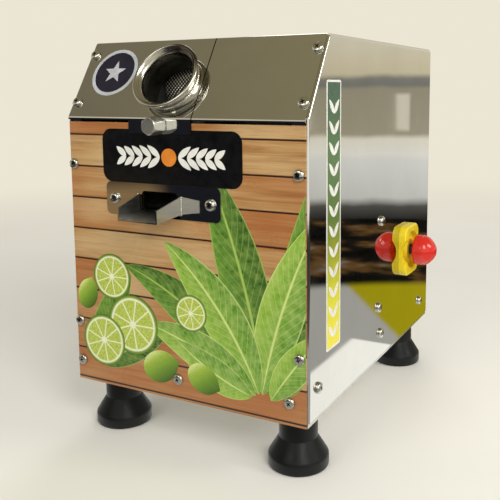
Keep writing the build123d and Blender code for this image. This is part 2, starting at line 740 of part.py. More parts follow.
def spur_gear(axis, turn):
    """A spur wheel about an axis, with one tooth centred at the turn angle."""

    def at(radius, angle):
        return (axis[0] + radius * math.cos(angle), axis[1] + radius * math.sin(angle))

    flank = [BASE_R + (TIP_R - BASE_R) * step / 3 for step in range(4)]
    gear_x = MILL_X - PLATE_IN - PLATE_T - BUSH_FLANGE_T - 1
    with BuildPart() as gear:
        with BuildSketch(Plane.YZ.offset(gear_x)):
            with BuildLine():
                for tooth in range(TEETH):
                    middle = turn + tooth * TOOTH_STEP
                    foot = half_tooth(BASE_R)
                    gap = middle + TOOTH_STEP / 2
                    rising = [at(r, middle - half_tooth(r)) for r in flank]
                    falling = [at(r, middle + half_tooth(r)) for r in reversed(flank)]
                    Line(at(ROOT_R, middle - foot), rising[0])
                    Spline(*rising)
                    ThreePointArc(rising[-1], at(TIP_R, middle), falling[0])
                    Spline(*falling)
                    Line(falling[-1], at(ROOT_R, middle + foot))
                    ThreePointArc(
                        at(ROOT_R, middle + foot),
                        at(ROOT_R, gap),
                        at(ROOT_R, middle + TOOTH_STEP - foot),
                    )
            make_face()
        extrude(amount=-GEAR_FACE_W)
        with BuildSketch(Plane.YZ.offset(gear_x - GEAR_FACE_W)):
            with Locations(axis):
                Circle(GEAR_HUB_R)
        extrude(amount=-GEAR_HUB_L)
        with BuildSketch(Plane.YZ.offset(gear_x)):
            with Locations(axis):
                Circle(SEAT_R + 0.02)
        extrude(amount=-GEAR_FACE_W - GEAR_HUB_L, mode=Mode.SUBTRACT)
    return gear.part


save(spur_gear(top_axis, 0), "top_gear")
save(spur_gear(feed_axis, mesh_angle(feed_axis)), "feed_gear")
save(spur_gear(discharge_axis, mesh_angle(discharge_axis)), "discharge_gear")

# Drive: worm gearbox on the right mill plate, motor lying to the rear

with BuildPart() as gearbox_flange:
    with BuildSketch(Plane.YZ.offset(MILL_X + PLATE_IN + PLATE_T)):
        with Locations(top_axis):
            Circle(FLANGE_R)
            Circle(BUSH_FLANGE_R + 2, mode=Mode.SUBTRACT)
    extrude(amount=FLANGE_T)
    add(flat_bolts(PLATE_T + FLANGE_T + 1, 0.1), mode=Mode.SUBTRACT)
save(gearbox_flange.part, "gearbox_flange")

with BuildPart() as gearbox:
    with BuildSketch(Plane.YZ.offset(DRIVE_X - GEARBOX_HALF)):
        with Locations(top_axis):
            Circle(GEARBOX_R)
        with Locations((top_axis[0], top_axis[1] - WORM_DROP / 2)):
            Rectangle(2 * GEARBOX_R, WORM_DROP + 30)
    extrude(amount=2 * GEARBOX_HALF)
    shell_edges = gearbox.edges().group_by(Axis.X)
    fillet(shell_edges[0] + shell_edges[-1], radius=4)
    with BuildSketch(Plane.XZ.offset(-motor_y)):
        with Locations((DRIVE_X, motor_z)):
            Circle(BARREL_R)
    extrude(amount=122)
    with BuildSketch(Plane.XZ.offset(-motor_y)):
        with Locations((DRIVE_X, motor_z)):
            Circle(MOTOR_R)
    extrude(amount=8)
    with BuildSketch(Plane.YZ.offset(DRIVE_X - GEARBOX_HALF)):
        with Locations(top_axis):
            Circle(SEAT_R + RUN_FIT)
    extrude(amount=2 * GEARBOX_HALF, mode=Mode.SUBTRACT)
    add(flat_bolts(BOLT_L + 2, 0.02), mode=Mode.SUBTRACT)
save(gearbox.part, "gearbox")
save(flat_bolts(BOLT_L, 0), "gearbox_bolts")

terminal_y = motor_y + 78
with BuildPart() as motor:
    with BuildSketch(Plane.XZ.offset(-motor_y)):
        with Locations((DRIVE_X, motor_z)):
            Circle(MOTOR_R)
    extrude(amount=-10)
    with BuildSketch(Plane.XZ.offset(-motor_y)):
        with Locations((DRIVE_X, motor_z)):
            Circle(MOTOR_CORE_R)
    extrude(amount=-MOTOR_L)
    with BuildSketch(Plane.XZ.offset(-motor_y)):
        with Locations((DRIVE_X, motor_z)):
            with PolarLocations((MOTOR_R + MOTOR_CORE_R) / 2 - 1, FIN_COUNT):
                Rectangle(MOTOR_R - MOTOR_CORE_R + 1, 3)
    extrude(amount=-MOTOR_L + 26)
    with BuildSketch(Plane.XZ.offset(-motor_y - MOTOR_L + 28)):
        with Locations((DRIVE_X, motor_z)):
            Circle(MOTOR_R - SHEET - 0.02)
    extrude(amount=-20)
    with BuildSketch(Plane.XY.offset(motor_z + MOTOR_R)):
        with Locations((DRIVE_X, terminal_y)):
            Rectangle(56, 76)
    extrude(amount=-10)
save(motor.part, "motor")

with BuildPart() as fan_cover:
    with BuildSketch(Plane.XZ.offset(-motor_y - MOTOR_L + 24)):
        with Locations((DRIVE_X, motor_z)):
            Circle(MOTOR_R)
    extrude(amount=-46)
    fillet(fan_cover.edges().sort_by(Axis.Y)[-1], radius=8)
    offset(amount=-SHEET, openings=fan_cover.faces().sort_by(Axis.Y)[0])
save(fan_cover.part, "fan_cover")

with BuildPart() as terminal_box:
    with BuildSketch(Plane.XY.offset(motor_z + MOTOR_R)):
        with Locations((DRIVE_X, terminal_y)):
            RectangleRounded(64, 84, 6)
    extrude(amount=30)
    fillet(terminal_box.faces().sort_by(Axis.Z)[-1].edges(), radius=3)
save(terminal_box.part, "terminal_box")

# Stop switch: shroud, collar, stem and mushroom head on the right side panel

stop_axis = (STOP_Y, BASE_Z + STOP_H)

with BuildPart() as stop_shroud:
    with BuildSketch(Plane.YZ.offset(RIGHT_X)):
        with Locations(stop_axis):
            RectangleRounded(STOP_SHROUD_W, STOP_SHROUD_H, 14)
    extrude(amount=STOP_LOBE_H)
    fillet(stop_shroud.faces().sort_by(Axis.X)[-1].edges(), radius=2)
    with BuildSketch(Plane.YZ.offset(RIGHT_X + 3)):
        with Locations(stop_axis):
            Circle(STOP_HEAD_R + 5)
    extrude(amount=STOP_LOBE_H, mode=Mode.SUBTRACT)
    with BuildSketch(Plane.XZ.offset(-STOP_Y)):
        with Locations((RIGHT_X + STOP_SCOOP_LOW + STOP_SCOOP_R, stop_axis[1])):
            Circle(STOP_SCOOP_R)
    extrude(amount=STOP_SHROUD_W, both=True, mode=Mode.SUBTRACT)
    with BuildSketch(Plane.YZ.offset(RIGHT_X)):
        with Locations(stop_axis):
            Circle(STOP_BARREL_R + 0.1)
    extrude(amount=3, mode=Mode.SUBTRACT)
save(stop_shroud.part, "stop_shroud")

with BuildPart() as stop_collar:
    with BuildSketch(cross_plane(RIGHT_X, stop_axis)):
        Polygon(
            (-STOP_BARREL_L, STOP_STEM_R + RUN_FIT),
            (-STOP_BARREL_L, STOP_BARREL_R),
            (3, STOP_BARREL_R),
            (3, STOP_BARREL_R + 4),
            (6.5, STOP_BARREL_R + 3),
            (6.5, STOP_STEM_R + RUN_FIT),
            align=None,
        )
    revolve(axis=Axis((RIGHT_X, *stop_axis), (1, 0, 0)))
save(stop_collar.part, "stop_collar")

with BuildPart() as stop_nut:
    with BuildSketch(Plane.YZ.offset(RIGHT_X - SHEET)):
        with Locations(stop_axis):
            RegularPolygon(radius=15, side_count=6, major_radius=False)
            Circle(STOP_BARREL_R + 0.02, mode=Mode.SUBTRACT)
    extrude(amount=-5)
save(stop_nut.part, "stop_nut")

stem_plane = cross_plane(RIGHT_X - STOP_BARREL_L - 4, stop_axis)
save(turned(stem_plane, [(STOP_BARREL_L + 32, STOP_STEM_R)]), "stop_stem")

with BuildPart() as stop_head:
    with BuildSketch(cross_plane(RIGHT_X, stop_axis)):
        with BuildLine():
            Polyline(
                (STOP_REACH, 0),
                (28, 0),
                (28, STOP_STEM_R + 0.02),
                (STOP_HEAD_LOW, STOP_STEM_R + 0.02),
                (STOP_HEAD_LOW, STOP_HEAD_R - 8),
                (STOP_HEAD_LOW + 3, STOP_HEAD_R - 1),
                (STOP_HEAD_LOW + 5, STOP_HEAD_R),
                (STOP_HEAD_LOW + 11, STOP_HEAD_R),
            )
            Spline(
                (STOP_HEAD_LOW + 11, STOP_HEAD_R),
                (36, STOP_HEAD_R - 6),
                (STOP_REACH, 0),
                tangents=[(1, 0), (0, -1)],
            )
        make_face()
    revolve(axis=Axis((RIGHT_X, *stop_axis), (1, 0, 0)))
save(stop_head.part, "stop_head")

with BuildPart() as stop_contacts:
    with BuildSketch(Plane.YZ.offset(RIGHT_X - STOP_BARREL_L)):
        with Locations(stop_axis):
            Rectangle(30, 38)
    extrude(amount=-30)
    with BuildSketch(Plane.YZ.offset(RIGHT_X - STOP_BARREL_L)):
        with Locations(stop_axis):
            Circle(STOP_STEM_R + 1)
    extrude(amount=-14, mode=Mode.SUBTRACT)
save(stop_contacts.part, "stop_contacts")

# Cable gland in the rear panel

gland_plane = Plane(
    origin=(CAB_X + GLAND_X, REAR_Y, BASE_Z + GLAND_H), x_dir=(0, 1, 0), z_dir=(1, 0, 0)
)
with BuildPart() as cable_gland:
    with BuildSketch(rear_face):
        with Locations((-GLAND_X, GLAND_H)):
            RegularPolygon(radius=11, side_count=6, major_radius=False)
    extrude(amount=6)
    add(turned(gland_plane, [(14, 10.0), (6, 8.0)]))
    with BuildSketch(rear_face):
        with Locations((-GLAND_X, GLAND_H)):
            Circle(8.0)
    extrude(amount=-10)
    with BuildSketch(rear_face.offset(20)):
        with Locations((-GLAND_X, GLAND_H)):
            Circle(4.0)
    extrude(amount=-30, mode=Mode.SUBTRACT)
save(cable_gland.part, "cable_gland")

with BuildPart() as gland_nut:
    with BuildSketch(rear_face.offset(-SHEET)):
        with Locations((-GLAND_X, GLAND_H)):
            RegularPolygon(radius=11, side_count=6, major_radius=False)
            Circle(8.02, mode=Mode.SUBTRACT)
    extrude(amount=-5)
save(gland_nut.part, "gland_nut")

# Rubber feet and their bolts


def foot(x, y):
    """A bell-shaped rubber foot with a bolt hole in its neck."""
    plane = Plane(origin=(x, y, 0), x_dir=(1, 0, 0), z_dir=(0, -1, 0))
    with BuildPart() as piece:
        with BuildSketch(plane) as profile:
            Polygon(
                (0, 0),
                (FOOT_R, 0),
                (FOOT_R, FOOT_SKIRT_H),
                (FOOT_NECK_R, FOOT_CONE_H),
                (FOOT_NECK_R, FOOT_H),
                (0, FOOT_H),
                align=None,
            )
            shoulder = profile.vertices().group_by(Axis.X)[-1].sort_by(Axis.Y)[-1]
            fillet(shoulder, radius=6)
            sole = profile.vertices().group_by(Axis.Y)[0].sort_by(Axis.X)[-1]
            fillet(sole, radius=3)
        revolve(axis=Axis((x, y, 0), (0, 0, 1)))
        with BuildSketch(Plane.XY.offset(FOOT_H)):
            with Locations((x, y)):
                Circle(FOOT_BOLT_R + 0.02)
        extrude(amount=-FOOT_BOLT_L, mode=Mode.SUBTRACT)
    return piece.part


foot_names = ["foot_front_left", "foot_rear_left", "foot_front_right", "foot_rear_right"]
for foot_name, place in zip(foot_names, foot_points):
    save(foot(*place), foot_name)

save(
    hex_bolts(Plane.XY.offset(FLOOR_Z), foot_points, 17.0, 6.4, FOOT_BOLT_R, FOOT_BOLT_L),
    "foot_bolts",
)
save(
    hex_bolts(
        Plane.XY.offset(FLOOR_Z + MILL_FOOT_T),
        mill_foot_points,
        17.0,
        6.4,
        FOOT_BOLT_R,
        MILL_FOOT_T + 4,
    ),
    "mill_bolts",
)

# Sheet-metal screws, one group for each face

save(pan_screws(front_face, upright_points + low_points), "front_screws")
save(pan_screws(rear_face, rear_upright_points + rear_low_points), "rear_screws")
save(pan_screws(right_face, right_points), "right_side_screws")
save(pan_screws(left_face, left_points), "left_side_screws")
save(pan_screws(slope_face, slope_points), "slope_screws")
save(pan_screws(rear_face.offset(SHEET), drive_lip_points + feed_lip_points), "cover_lip_screws")
save(pan_screws(front_face.offset(SHEET), spout_points), "spout_screws")
save(pan_screws(rear_face.offset(SHEET), chute_points), "chute_screws")
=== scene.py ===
import json
import math
import random

import bmesh
import bpy
from mathutils import Matrix, Vector


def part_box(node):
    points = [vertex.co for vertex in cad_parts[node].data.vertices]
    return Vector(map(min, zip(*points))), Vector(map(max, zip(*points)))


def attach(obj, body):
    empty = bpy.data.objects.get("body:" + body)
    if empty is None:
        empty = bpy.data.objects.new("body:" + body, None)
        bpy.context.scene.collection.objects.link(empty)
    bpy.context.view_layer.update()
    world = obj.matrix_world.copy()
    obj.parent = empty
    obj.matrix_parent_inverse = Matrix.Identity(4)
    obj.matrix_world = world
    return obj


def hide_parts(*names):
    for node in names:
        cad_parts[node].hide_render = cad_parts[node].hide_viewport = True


# Looks of a countertop sugarcane juicer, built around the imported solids. Metres, same frame.

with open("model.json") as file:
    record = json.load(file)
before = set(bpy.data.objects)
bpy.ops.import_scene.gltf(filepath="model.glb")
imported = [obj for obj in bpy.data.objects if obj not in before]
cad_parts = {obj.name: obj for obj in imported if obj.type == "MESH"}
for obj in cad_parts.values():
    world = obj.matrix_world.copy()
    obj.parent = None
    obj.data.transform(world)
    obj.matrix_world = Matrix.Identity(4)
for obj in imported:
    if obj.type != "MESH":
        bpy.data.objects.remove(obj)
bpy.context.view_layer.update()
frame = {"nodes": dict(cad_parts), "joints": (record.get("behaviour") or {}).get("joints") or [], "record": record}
nodes = frame["nodes"]
record = frame["record"]
chance = random.Random(7)

front_low, front_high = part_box("front_panel")
LEFT_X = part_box("side_panel_left")[0].x
RIGHT_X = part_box("side_panel_right")[1].x
MID_X = (LEFT_X + RIGHT_X) / 2
FRONT_Y = front_low.y
BASE_Z = front_low.z
SEAM_X = (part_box("feed_cover")[1].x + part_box("drive_cover")[0].x) / 2

feed_mount = next(mount for mount in record["mounts"] if mount["name"] == "feed_mouth")
FEED_POINT = Vector(feed_mount["pos_m"])
FEED_AXIS = Vector(feed_mount["axis"]).normalized()
UP_SLOPE = Vector((0, FEED_AXIS.z, -FEED_AXIS.y))
SLOPE_FOOT = FEED_POINT - UP_SLOPE * ((FEED_POINT.y - FRONT_Y) / UP_SLOPE.y)
BORE_R = 0.0305
# Direction across the slope in which the bell's flare carries a painted dark reflection.
DARK_REFLECTION_TURN = math.radians(55)
DARK_REFLECTION_SIDE = Vector((math.cos(DARK_REFLECTION_TURN), 0, 0)) + UP_SLOPE * math.sin(DARK_REFLECTION_TURN)

spins = [joint for joint in frame["joints"] if joint["name"].endswith("_spin")]
ROLLERS = {joint["child"]: Vector(joint["pos_m"]) for joint in spins}
ROLL_R = 0.033

FLANGE_T = 0.0015
FLANGE_Y = FRONT_Y - FLANGE_T
NEAR = 1e-5
spout_points = [vertex.co.copy() for vertex in nodes["juice_spout"].data.vertices]
spout_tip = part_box("juice_spout")[0].y
tip_points = [point.x for point in spout_points if point.y < spout_tip + NEAR]
SPOUT_X = sum(tip_points) / len(tip_points)


class Face:
    """A flat side of the machine, with the slot of its panel."""

    def __init__(self, origin, right, up, slot):
        self.origin = Vector(origin)
        self.right = Vector(right)
        self.up = Vector(up)
        self.out = self.right.cross(self.up)
        self.slot = slot

    def at(self, across, height, proud=0.0):
        return self.origin + self.right * across + self.up * height + self.out * proud


front = Face((MID_X, FRONT_Y, BASE_Z), (1, 0, 0), (0, 0, 1), "printed_front")
side = Face((RIGHT_X, 0, BASE_Z), (0, 1, 0), (0, 0, 1), "polished_steel")
slope = Face((MID_X, SLOPE_FOOT.y, SLOPE_FOOT.z), (1, 0, 0), UP_SLOPE, "polished_steel")


# Colours and node trees


def srgb(red, green, blue):
    """A screen colour, 0 to 255, as a linear colour."""
    def linear(value):
        value /= 255
        return value / 12.92 if value <= 0.04045 else ((value + 0.055) / 1.055) ** 2.4
    return (linear(red), linear(green), linear(blue), 1.0)


def shade(colour, factor):
    """The same colour, lighter or darker."""
    return tuple(channel * factor for channel in colour[:3]) + (1.0,)


class Nodes:
    """A node tree, with a short name for each kind of node."""

    def __init__(self, tree):
        self.tree = tree

    def feed(self, socket, value):
        """Links the socket to another node's output, or sets a plain value."""
        if isinstance(value, bpy.types.NodeSocket):
            self.tree.links.new(value, socket)
        else:
            socket.default_value = value

    def node(self, kind, inputs=None, **settings):
        made = self.tree.nodes.new("ShaderNode" + kind)
        for key, value in settings.items():
            setattr(made, key, value)
        for key, value in (inputs or {}).items():
            self.feed(made.inputs[key], value)
        return made

    def calc(self, operation, first, second=0.0):
        return self.node("Math", {0: first, 1: second}, operation=operation).outputs[0]

    def times(self, first, second):
        return self.calc("MULTIPLY", first, second)

    def plus(self, first, second):
        return self.calc("ADD", first, second)

    def minus(self, first, second):
        return self.calc("SUBTRACT", first, second)

    def absolute(self, value):
        return self.calc("ABSOLUTE", value)

    def hypot(self, first, second):
        return self.calc("SQRT", self.plus(self.times(first, first), self.times(second, second)))

    def dot(self, vector, direction):
        inputs = {0: vector, 1: tuple(direction)}
        return self.node("VectorMath", inputs, operation="DOT_PRODUCT").outputs["Value"]

    def mix(self, factor, first, second):
        return self.node("Mix", {0: factor, 6: first, 7: second}, data_type="RGBA").outputs[2]

    def ramp(self, factor, stops):
        made = self.node("ValToRGB", {"Fac": factor})
        elements = made.color_ramp.elements
        while len(elements) < len(stops):
            elements.new(1.0)
        for element, (position, colour) in zip(elements, stops):
            element.position = position
            element.color = colour
        return made.outputs["Color"]

    def span(self, value, low, high, new_low=0.0, new_high=1.0, smooth=False):
        """Takes low to high over to new_low to new_high, and holds still beyond them."""
        inputs = {"Value": value, "From Min": low, "From Max": high, "To Min": new_low, "To Max": new_high}
        kind = "SMOOTHSTEP" if smooth else "LINEAR"
        return self.node("MapRange", inputs, interpolation_type=kind).outputs["Result"]

    def below(self, value, low, high):
        """One below low, nothing above high."""
        return self.span(value, low, high, 1.0, 0.0)

    def between(self, value, low, high, soft):
        """One from low to high and nothing outside, with a soft edge."""
        rise = self.span(value, low - soft, low + soft)
        return self.times(rise, self.below(value, high - soft, high + soft))

    def vary(self, noise, low=0.0, high=1.0):
        """A value from low to high over the range where most of a noise lies."""
        return self.span(noise, 0.3, 0.7, low, high)

    def coords(self, kind="Object"):
        return self.node("TexCoord").outputs[kind]

    def place(self, stretch=(1, 1, 1), shift=(0, 0, 0), start=None):
        """Coordinates of the machine's own frame, or others, stretched along their axes."""
        vector = self.coords() if start is None else start
        return self.node("Mapping", {"Vector": vector, "Scale": stretch, "Location": shift}).outputs[0]

    def axes(self, vector, wanted="XYZ"):
        made = self.node("SeparateXYZ", {"Vector": vector})
        return [made.outputs[letter] for letter in wanted]

    def vector(self, *values):
        return self.node("CombineXYZ", dict(enumerate(values))).outputs[0]

    def noise(self, scale, detail=3.0, roughness=0.5, distortion=0.0, stretch=(1, 1, 1), start=None):
        return self.node("TexNoise", {
            "Vector": self.place(stretch, start=start), "Scale": scale, "Detail": detail,
            "Roughness": roughness, "Distortion": distortion}).outputs["Fac"]


class Skin(Nodes):
    """A material and its node tree."""

    def __init__(self, name):
        self.material = bpy.data.materials.new(name)
        self.material.use_nodes = True
        super().__init__(self.material.node_tree)
        self.surface = self.tree.nodes["Principled BSDF"]

    def print_spot(self):
        """Where a point lies in its own printed shape."""
        return self.axes(self.node("UVMap", uv_map="print").outputs["UV"], "XY")

    def bump(self, height, strength, distance):
        made = self.node("Bump", {"Height": height, "Strength": strength, "Distance": distance})
        self.feed(self.surface.inputs["Normal"], made.outputs["Normal"])

    def paint(self, colour, roughness, metallic=0.0, more=None):
        """Sets the surface's inputs, with more by name, and gives the material."""
        inputs = {"Base Color": colour, "Roughness": roughness, "Metallic": metallic, **(more or {})}
        for key, value in inputs.items():
            self.feed(self.surface.inputs[key], value)
        return self.material

    def show(self, output):
        self.feed(self.tree.nodes["Material Output"].inputs["Surface"], output)
        return self.material

    def shine(self, colour):
        """Makes the surface a plain light of this colour, and gives the material."""
        self.tree.nodes.remove(self.surface)
        return self.show(self.node("Emission", {"Color": colour}).outputs[0])


# Materials

STEEL = srgb(205, 204, 198)
SATIN = srgb(190, 189, 183)
BOARD_H = 0.0355
BOARD_START = 0.0033


def polished_steel(name, seam_x=None):
    """Mirror-polished sheet: slight waviness, wiping haze, hairline scratches and painted shade along a seam."""
    skin = Skin(name)
    haze = skin.noise(14, 5, 0.6)
    scratch = skin.span(skin.noise(1, 2, stretch=(900, 900, 30)), 0.62, 0.72)
    colour = skin.ramp(haze, [(0.3, shade(STEEL, 0.93)), (0.7, STEEL)])
    if seam_x is not None:
        off_seam = skin.absolute(skin.axes(skin.place(shift=(-seam_x, 0, 0)), "X")[0])
        # Painted shade: a dark line within a millimetre of the seam, where the gap's shadow falls.
        colour = skin.mix(skin.span(off_seam, 0.0004, 0.0009, 0.95, 0.0), colour, srgb(26, 24, 18))
    skin.bump(skin.noise(5, 1, stretch=(1, 1, 0.6)), 0.06, 0.004)
    rough = skin.plus(skin.span(haze, 0.35, 0.75, 0.03, 0.07), skin.times(scratch, 0.05))
    return skin.paint(colour, rough, 1.0)


def satin_steel(name, tint, roughness, stretch=(60, 60, 900)):
    """Stainless with a fine drawn grain."""
    skin = Skin(name)
    grain = skin.noise(1, 4, 0.6, stretch=stretch)
    stain = skin.noise(40, 4, 0.6)
    light = skin.mix(skin.vary(grain), shade(tint, 0.8), tint)
    colour = skin.mix(skin.span(stain, 0.5, 0.8, 0.0, 0.35), light, shade(tint, 0.62))
    skin.bump(grain, 0.12, 0.0004)
    return skin.paint(colour, skin.vary(stain, roughness * 0.8, roughness * 1.3), 1.0)


def cast_metal(name, tint, metallic, roughness, scale, depth):
    """Cast or blasted metal with a pebbled skin and darker hollows."""
    skin = Skin(name)
    pebble = skin.noise(scale, 6.0, 0.65)
    patch = skin.noise(scale / 30)
    base = skin.mix(skin.vary(pebble), shade(tint, 0.6), tint)
    colour = skin.mix(skin.span(patch, 0.45, 0.7, 0.0, 0.4), base, shade(tint, 0.55))
    skin.bump(pebble, depth, 0.0006)
    return skin.paint(colour, skin.vary(patch, roughness * 0.85, roughness * 1.2), metallic)


def moulded_plastic(name, tint, roughness, grain_depth):
    """Injection-moulded plastic with faint flow marks and a fine grain."""
    skin = Skin(name)
    flow = skin.noise(35, 3, 0.5, 0.6)
    colour = skin.ramp(flow, [(0.25, shade(tint, 0.82)), (0.75, tint)])
    skin.bump(skin.noise(2600, 2), grain_depth, 0.0003)
    return skin.paint(colour, skin.vary(flow, roughness * 0.8, roughness * 1.25))


def rubber(name):
    """Moulded black rubber: dull, dusty in the hollows, with a fine skin."""
    skin = Skin(name)
    dust = skin.noise(60, 5, 0.6)
    colour = skin.ramp(dust, [(0.35, srgb(5, 6, 6)), (0.62, srgb(9, 10, 10)), (0.8, srgb(20, 21, 20))])
    skin.bump(skin.noise(1800), 0.2, 0.0003)
    return skin.paint(colour, skin.span(dust, 0.3, 0.75, 0.36, 0.55), more={"Specular IOR Level": 0.2})


def mouth_steel():
    """Spun stainless: a satin bell with a painted dark reflection at its upper right, dull down the tube and
    darkened there by juice stain and painted shade.
    """
    skin = Skin("mouth_steel")
    spot = skin.place(shift=tuple(-FEED_POINT))
    depth = skin.dot(spot, FEED_AXIS)
    length = skin.node("VectorMath", {0: spot}, operation="LENGTH").outputs["Value"]
    off_axis = skin.calc("SQRT", skin.minus(skin.times(length, length), skin.times(depth, depth)))
    near_axis = skin.below(off_axis, BORE_R + 0.0004, BORE_R + 0.001)
    in_bore = skin.times(near_axis, skin.below(depth, -0.001, 0.008))
    stain = skin.noise(55, 4, 0.6)
    ring = skin.noise(2200, 2, start=skin.vector(depth, off_axis))
    bright = skin.mix(skin.span(ring, 0.35, 0.65), srgb(166, 163, 152), srgb(190, 187, 176))
    # Juice stain and painted shade: the bore is coloured far darker than the bell, standing in for the shade
    # inside the tube.
    dull = skin.mix(skin.span(stain, 0.35, 0.7), srgb(52, 50, 44), srgb(96, 92, 80))
    in_flare = skin.span(skin.dot(skin.coords("Normal"), FEED_AXIS), 0.02, 0.15)
    upper = skin.calc("DIVIDE", skin.dot(spot, DARK_REFLECTION_SIDE), off_axis)
    # Painted reflection: the inner flare is darkened at its upper right, as if it mirrored the dark mouth.
    flare = skin.mix(skin.times(in_flare, skin.span(upper, 0.7, 0.9)), bright, srgb(84, 78, 72))
    skin.bump(ring, 0.05, 0.0003)
    rough = skin.plus(skin.times(in_bore, 0.2), skin.vary(stain, 0.16, 0.25))
    return skin.paint(skin.mix(in_bore, flare, dull), rough, 1.0)


def spout_steel():
    """Formed stainless: a polished flange, satin walls, a floor darkened by juice stain and painted shade, and an
    outlet painted dark as shade.
    """
    skin = Skin("spout_steel")
    facing_y, facing_z = skin.axes(skin.coords("Normal"), "YZ")
    x, y, z = skin.axes(skin.place(shift=(-SPOUT_X, -FLANGE_Y, -BASE_Z)))
    flat = skin.span(skin.absolute(facing_y), 0.97, 0.99)
    in_walls = skin.times(skin.below(skin.absolute(x), 0.0264, 0.0267), skin.below(z, 0.2245, 0.225))
    # Painted shade: the walls inside the outlet, at and behind the flange, are coloured dark.
    outlet = skin.times(in_walls, skin.span(y, -0.0003, -0.0001))
    # Juice stain and painted shade: the floor darkens towards the spout's root.
    floor_stain_and_shade = skin.times(skin.span(facing_z, 0.9, 0.95), skin.span(y, -0.034, -0.006, 0.0, 0.8))
    haze = skin.noise(1, 4, 0.6, stretch=(40, 40, 400))
    clean = skin.mix(skin.vary(haze), shade(STEEL, 0.88), STEEL)
    colour = skin.mix(skin.calc("MAXIMUM", outlet, floor_stain_and_shade), clean, srgb(34, 34, 28))
    rough = skin.mix(flat, skin.vary(haze, 0.3, 0.42), (0.05, 0.05, 0.05, 1.0))
    return skin.paint(colour, rough, 1.0)


def tray_steel():
    """Satin sheet, stained dark by juice where it runs out at the front."""
    skin = Skin("tray_steel")
    run = skin.axes(skin.place(shift=(0, -FLANGE_Y, 0)), "Y")[0]
    blotch = skin.noise(55, 4, 0.6)
    clean = skin.mix(skin.span(blotch, 0.35, 0.7), shade(SATIN, 0.75), SATIN)
    colour = skin.mix(skin.span(run, 0.008, 0.03, 1.0, 0.2), clean, srgb(24, 23, 19))
    return skin.paint(colour, skin.vary(blotch, 0.34, 0.5), 1.0)


def turned_metal(name, tint, roughness):
    """Metal turned on a lathe: fine rings around the top roller's axis."""
    skin = Skin(name)
    centre = ROLLERS["top_roller"]
    x, y, z = skin.axes(skin.place(shift=(0, -centre.y, -centre.z)))
    ring = skin.calc("SINE", skin.times(skin.plus(skin.hypot(y, z), x), 9000.0))
    stain = skin.noise(45, 4)
    colour = skin.mix(skin.span(stain, 0.4, 0.75, 0.0, 0.5), tint, shade(tint, 0.6))
    skin.bump(ring, 0.1, 0.0002)
    return skin.paint(colour, skin.vary(stain, roughness * 0.8, roughness * 1.3), 1.0)


def plank_print():
    """Printed film: level wooden boards with grain, tone by board and dark joints."""
    skin = Skin("plank_print")
    x, z = skin.axes(skin.place(shift=(-LEFT_X, 0, -BASE_Z)), "XZ")
    rows = skin.calc("DIVIDE", skin.minus(z, BOARD_START), BOARD_H)
    row = skin.calc("FLOOR", rows)
    in_board = skin.calc("FRACT", rows)
    tone = skin.node("TexWhiteNoise", {"W": skin.plus(row, 4.3)}, noise_dimensions="1D").outputs["Value"]
    flow = skin.vector(skin.plus(x, skin.times(tone, 3.1)), row, z)
    broad = skin.noise(1, 4, 0.55, 0.9, (7, 3, 150), flow)
    fine = skin.noise(1, 3, 0.6, 0.0, (26, 3, 1300), flow)
    wander = skin.noise(1, 2, 0.5, 0.0, (5, 2, 9), flow)
    warm = skin.ramp(broad, [
        (0.28, srgb(138, 96, 52)), (0.45, srgb(178, 134, 80)),
        (0.58, srgb(194, 156, 102)), (0.75, srgb(208, 180, 130))])
    redder = skin.mix(skin.span(tone, 0.0, 1.0, 0.0, 0.75), warm, srgb(172, 106, 56))
    ruddy = skin.mix(skin.span(wander, 0.36, 0.5, 0.65, 0.0), redder, srgb(166, 94, 42))
    paler = skin.mix(skin.span(wander, 0.5, 0.66, 0.0, 0.65), ruddy, srgb(208, 180, 132))
    lined = skin.mix(skin.span(fine, 0.52, 0.74, 0.0, 0.45), paler, srgb(122, 78, 42))
    joint = skin.calc("MAXIMUM", skin.below(in_board, 0.018, 0.046), skin.span(in_board, 0.965, 0.985))
    jointed = skin.mix(joint, lined, srgb(44, 15, 5))
    # Painted shade: the print is coloured near black inside the spout's walls, where the hole lies in shadow.
    off_spout = skin.absolute(skin.minus(x, SPOUT_X - LEFT_X))
    spout_hole_shade = skin.times(skin.below(off_spout, 0.0235, 0.024), skin.between(z, 0.2065, 0.2295, 0.0003))
    colour = skin.mix(spout_hole_shade, jointed, srgb(26, 25, 22))
    coat = {"Coat Weight": 0.25, "Coat Roughness": 0.12}
    return skin.paint(colour, skin.vary(skin.noise(18), 0.26, 0.38), more=coat)


def printed_ink(name, dark, light, roughness=0.32):
    """Screen ink with a faint mottle."""
    skin = Skin(name)
    mottle = skin.noise(90, 4, 0.6)
    colour = skin.ramp(mottle, [(0.3, dark), (0.7, light)])
    return skin.paint(colour, skin.vary(mottle, roughness * 0.85, roughness * 1.15))


def leaf_ink(name, deep, mid, pale):
    """Printed broad leaf: midrib, slanting side veins, a lit half and a pale rim."""
    skin = Skin(name)
    along, across = skin.print_spot()
    reach = skin.absolute(across)
    wave = skin.calc("FRACT", skin.minus(skin.times(along, 17.0), skin.times(reach, 3.2)))
    vein = skin.span(skin.absolute(skin.minus(wave, 0.5)), 0.4, 0.5)
    mottle = skin.noise(160, 4)
    body = skin.mix(skin.span(across, -0.9, 0.9), deep, mid)
    body = skin.mix(skin.span(mottle, 0.35, 0.7, 0.0, 0.35), body, pale)
    body = skin.mix(skin.times(vein, 0.4), body, pale)
    rib = skin.span(reach, 0.03, 0.075, 0.9, 0.0)
    rim = skin.span(reach, 0.93, 0.985, 0.0, 0.75)
    body = skin.mix(skin.calc("MAXIMUM", rib, rim), body, pale)
    return skin.paint(body, skin.vary(mottle, 0.27, 0.38))


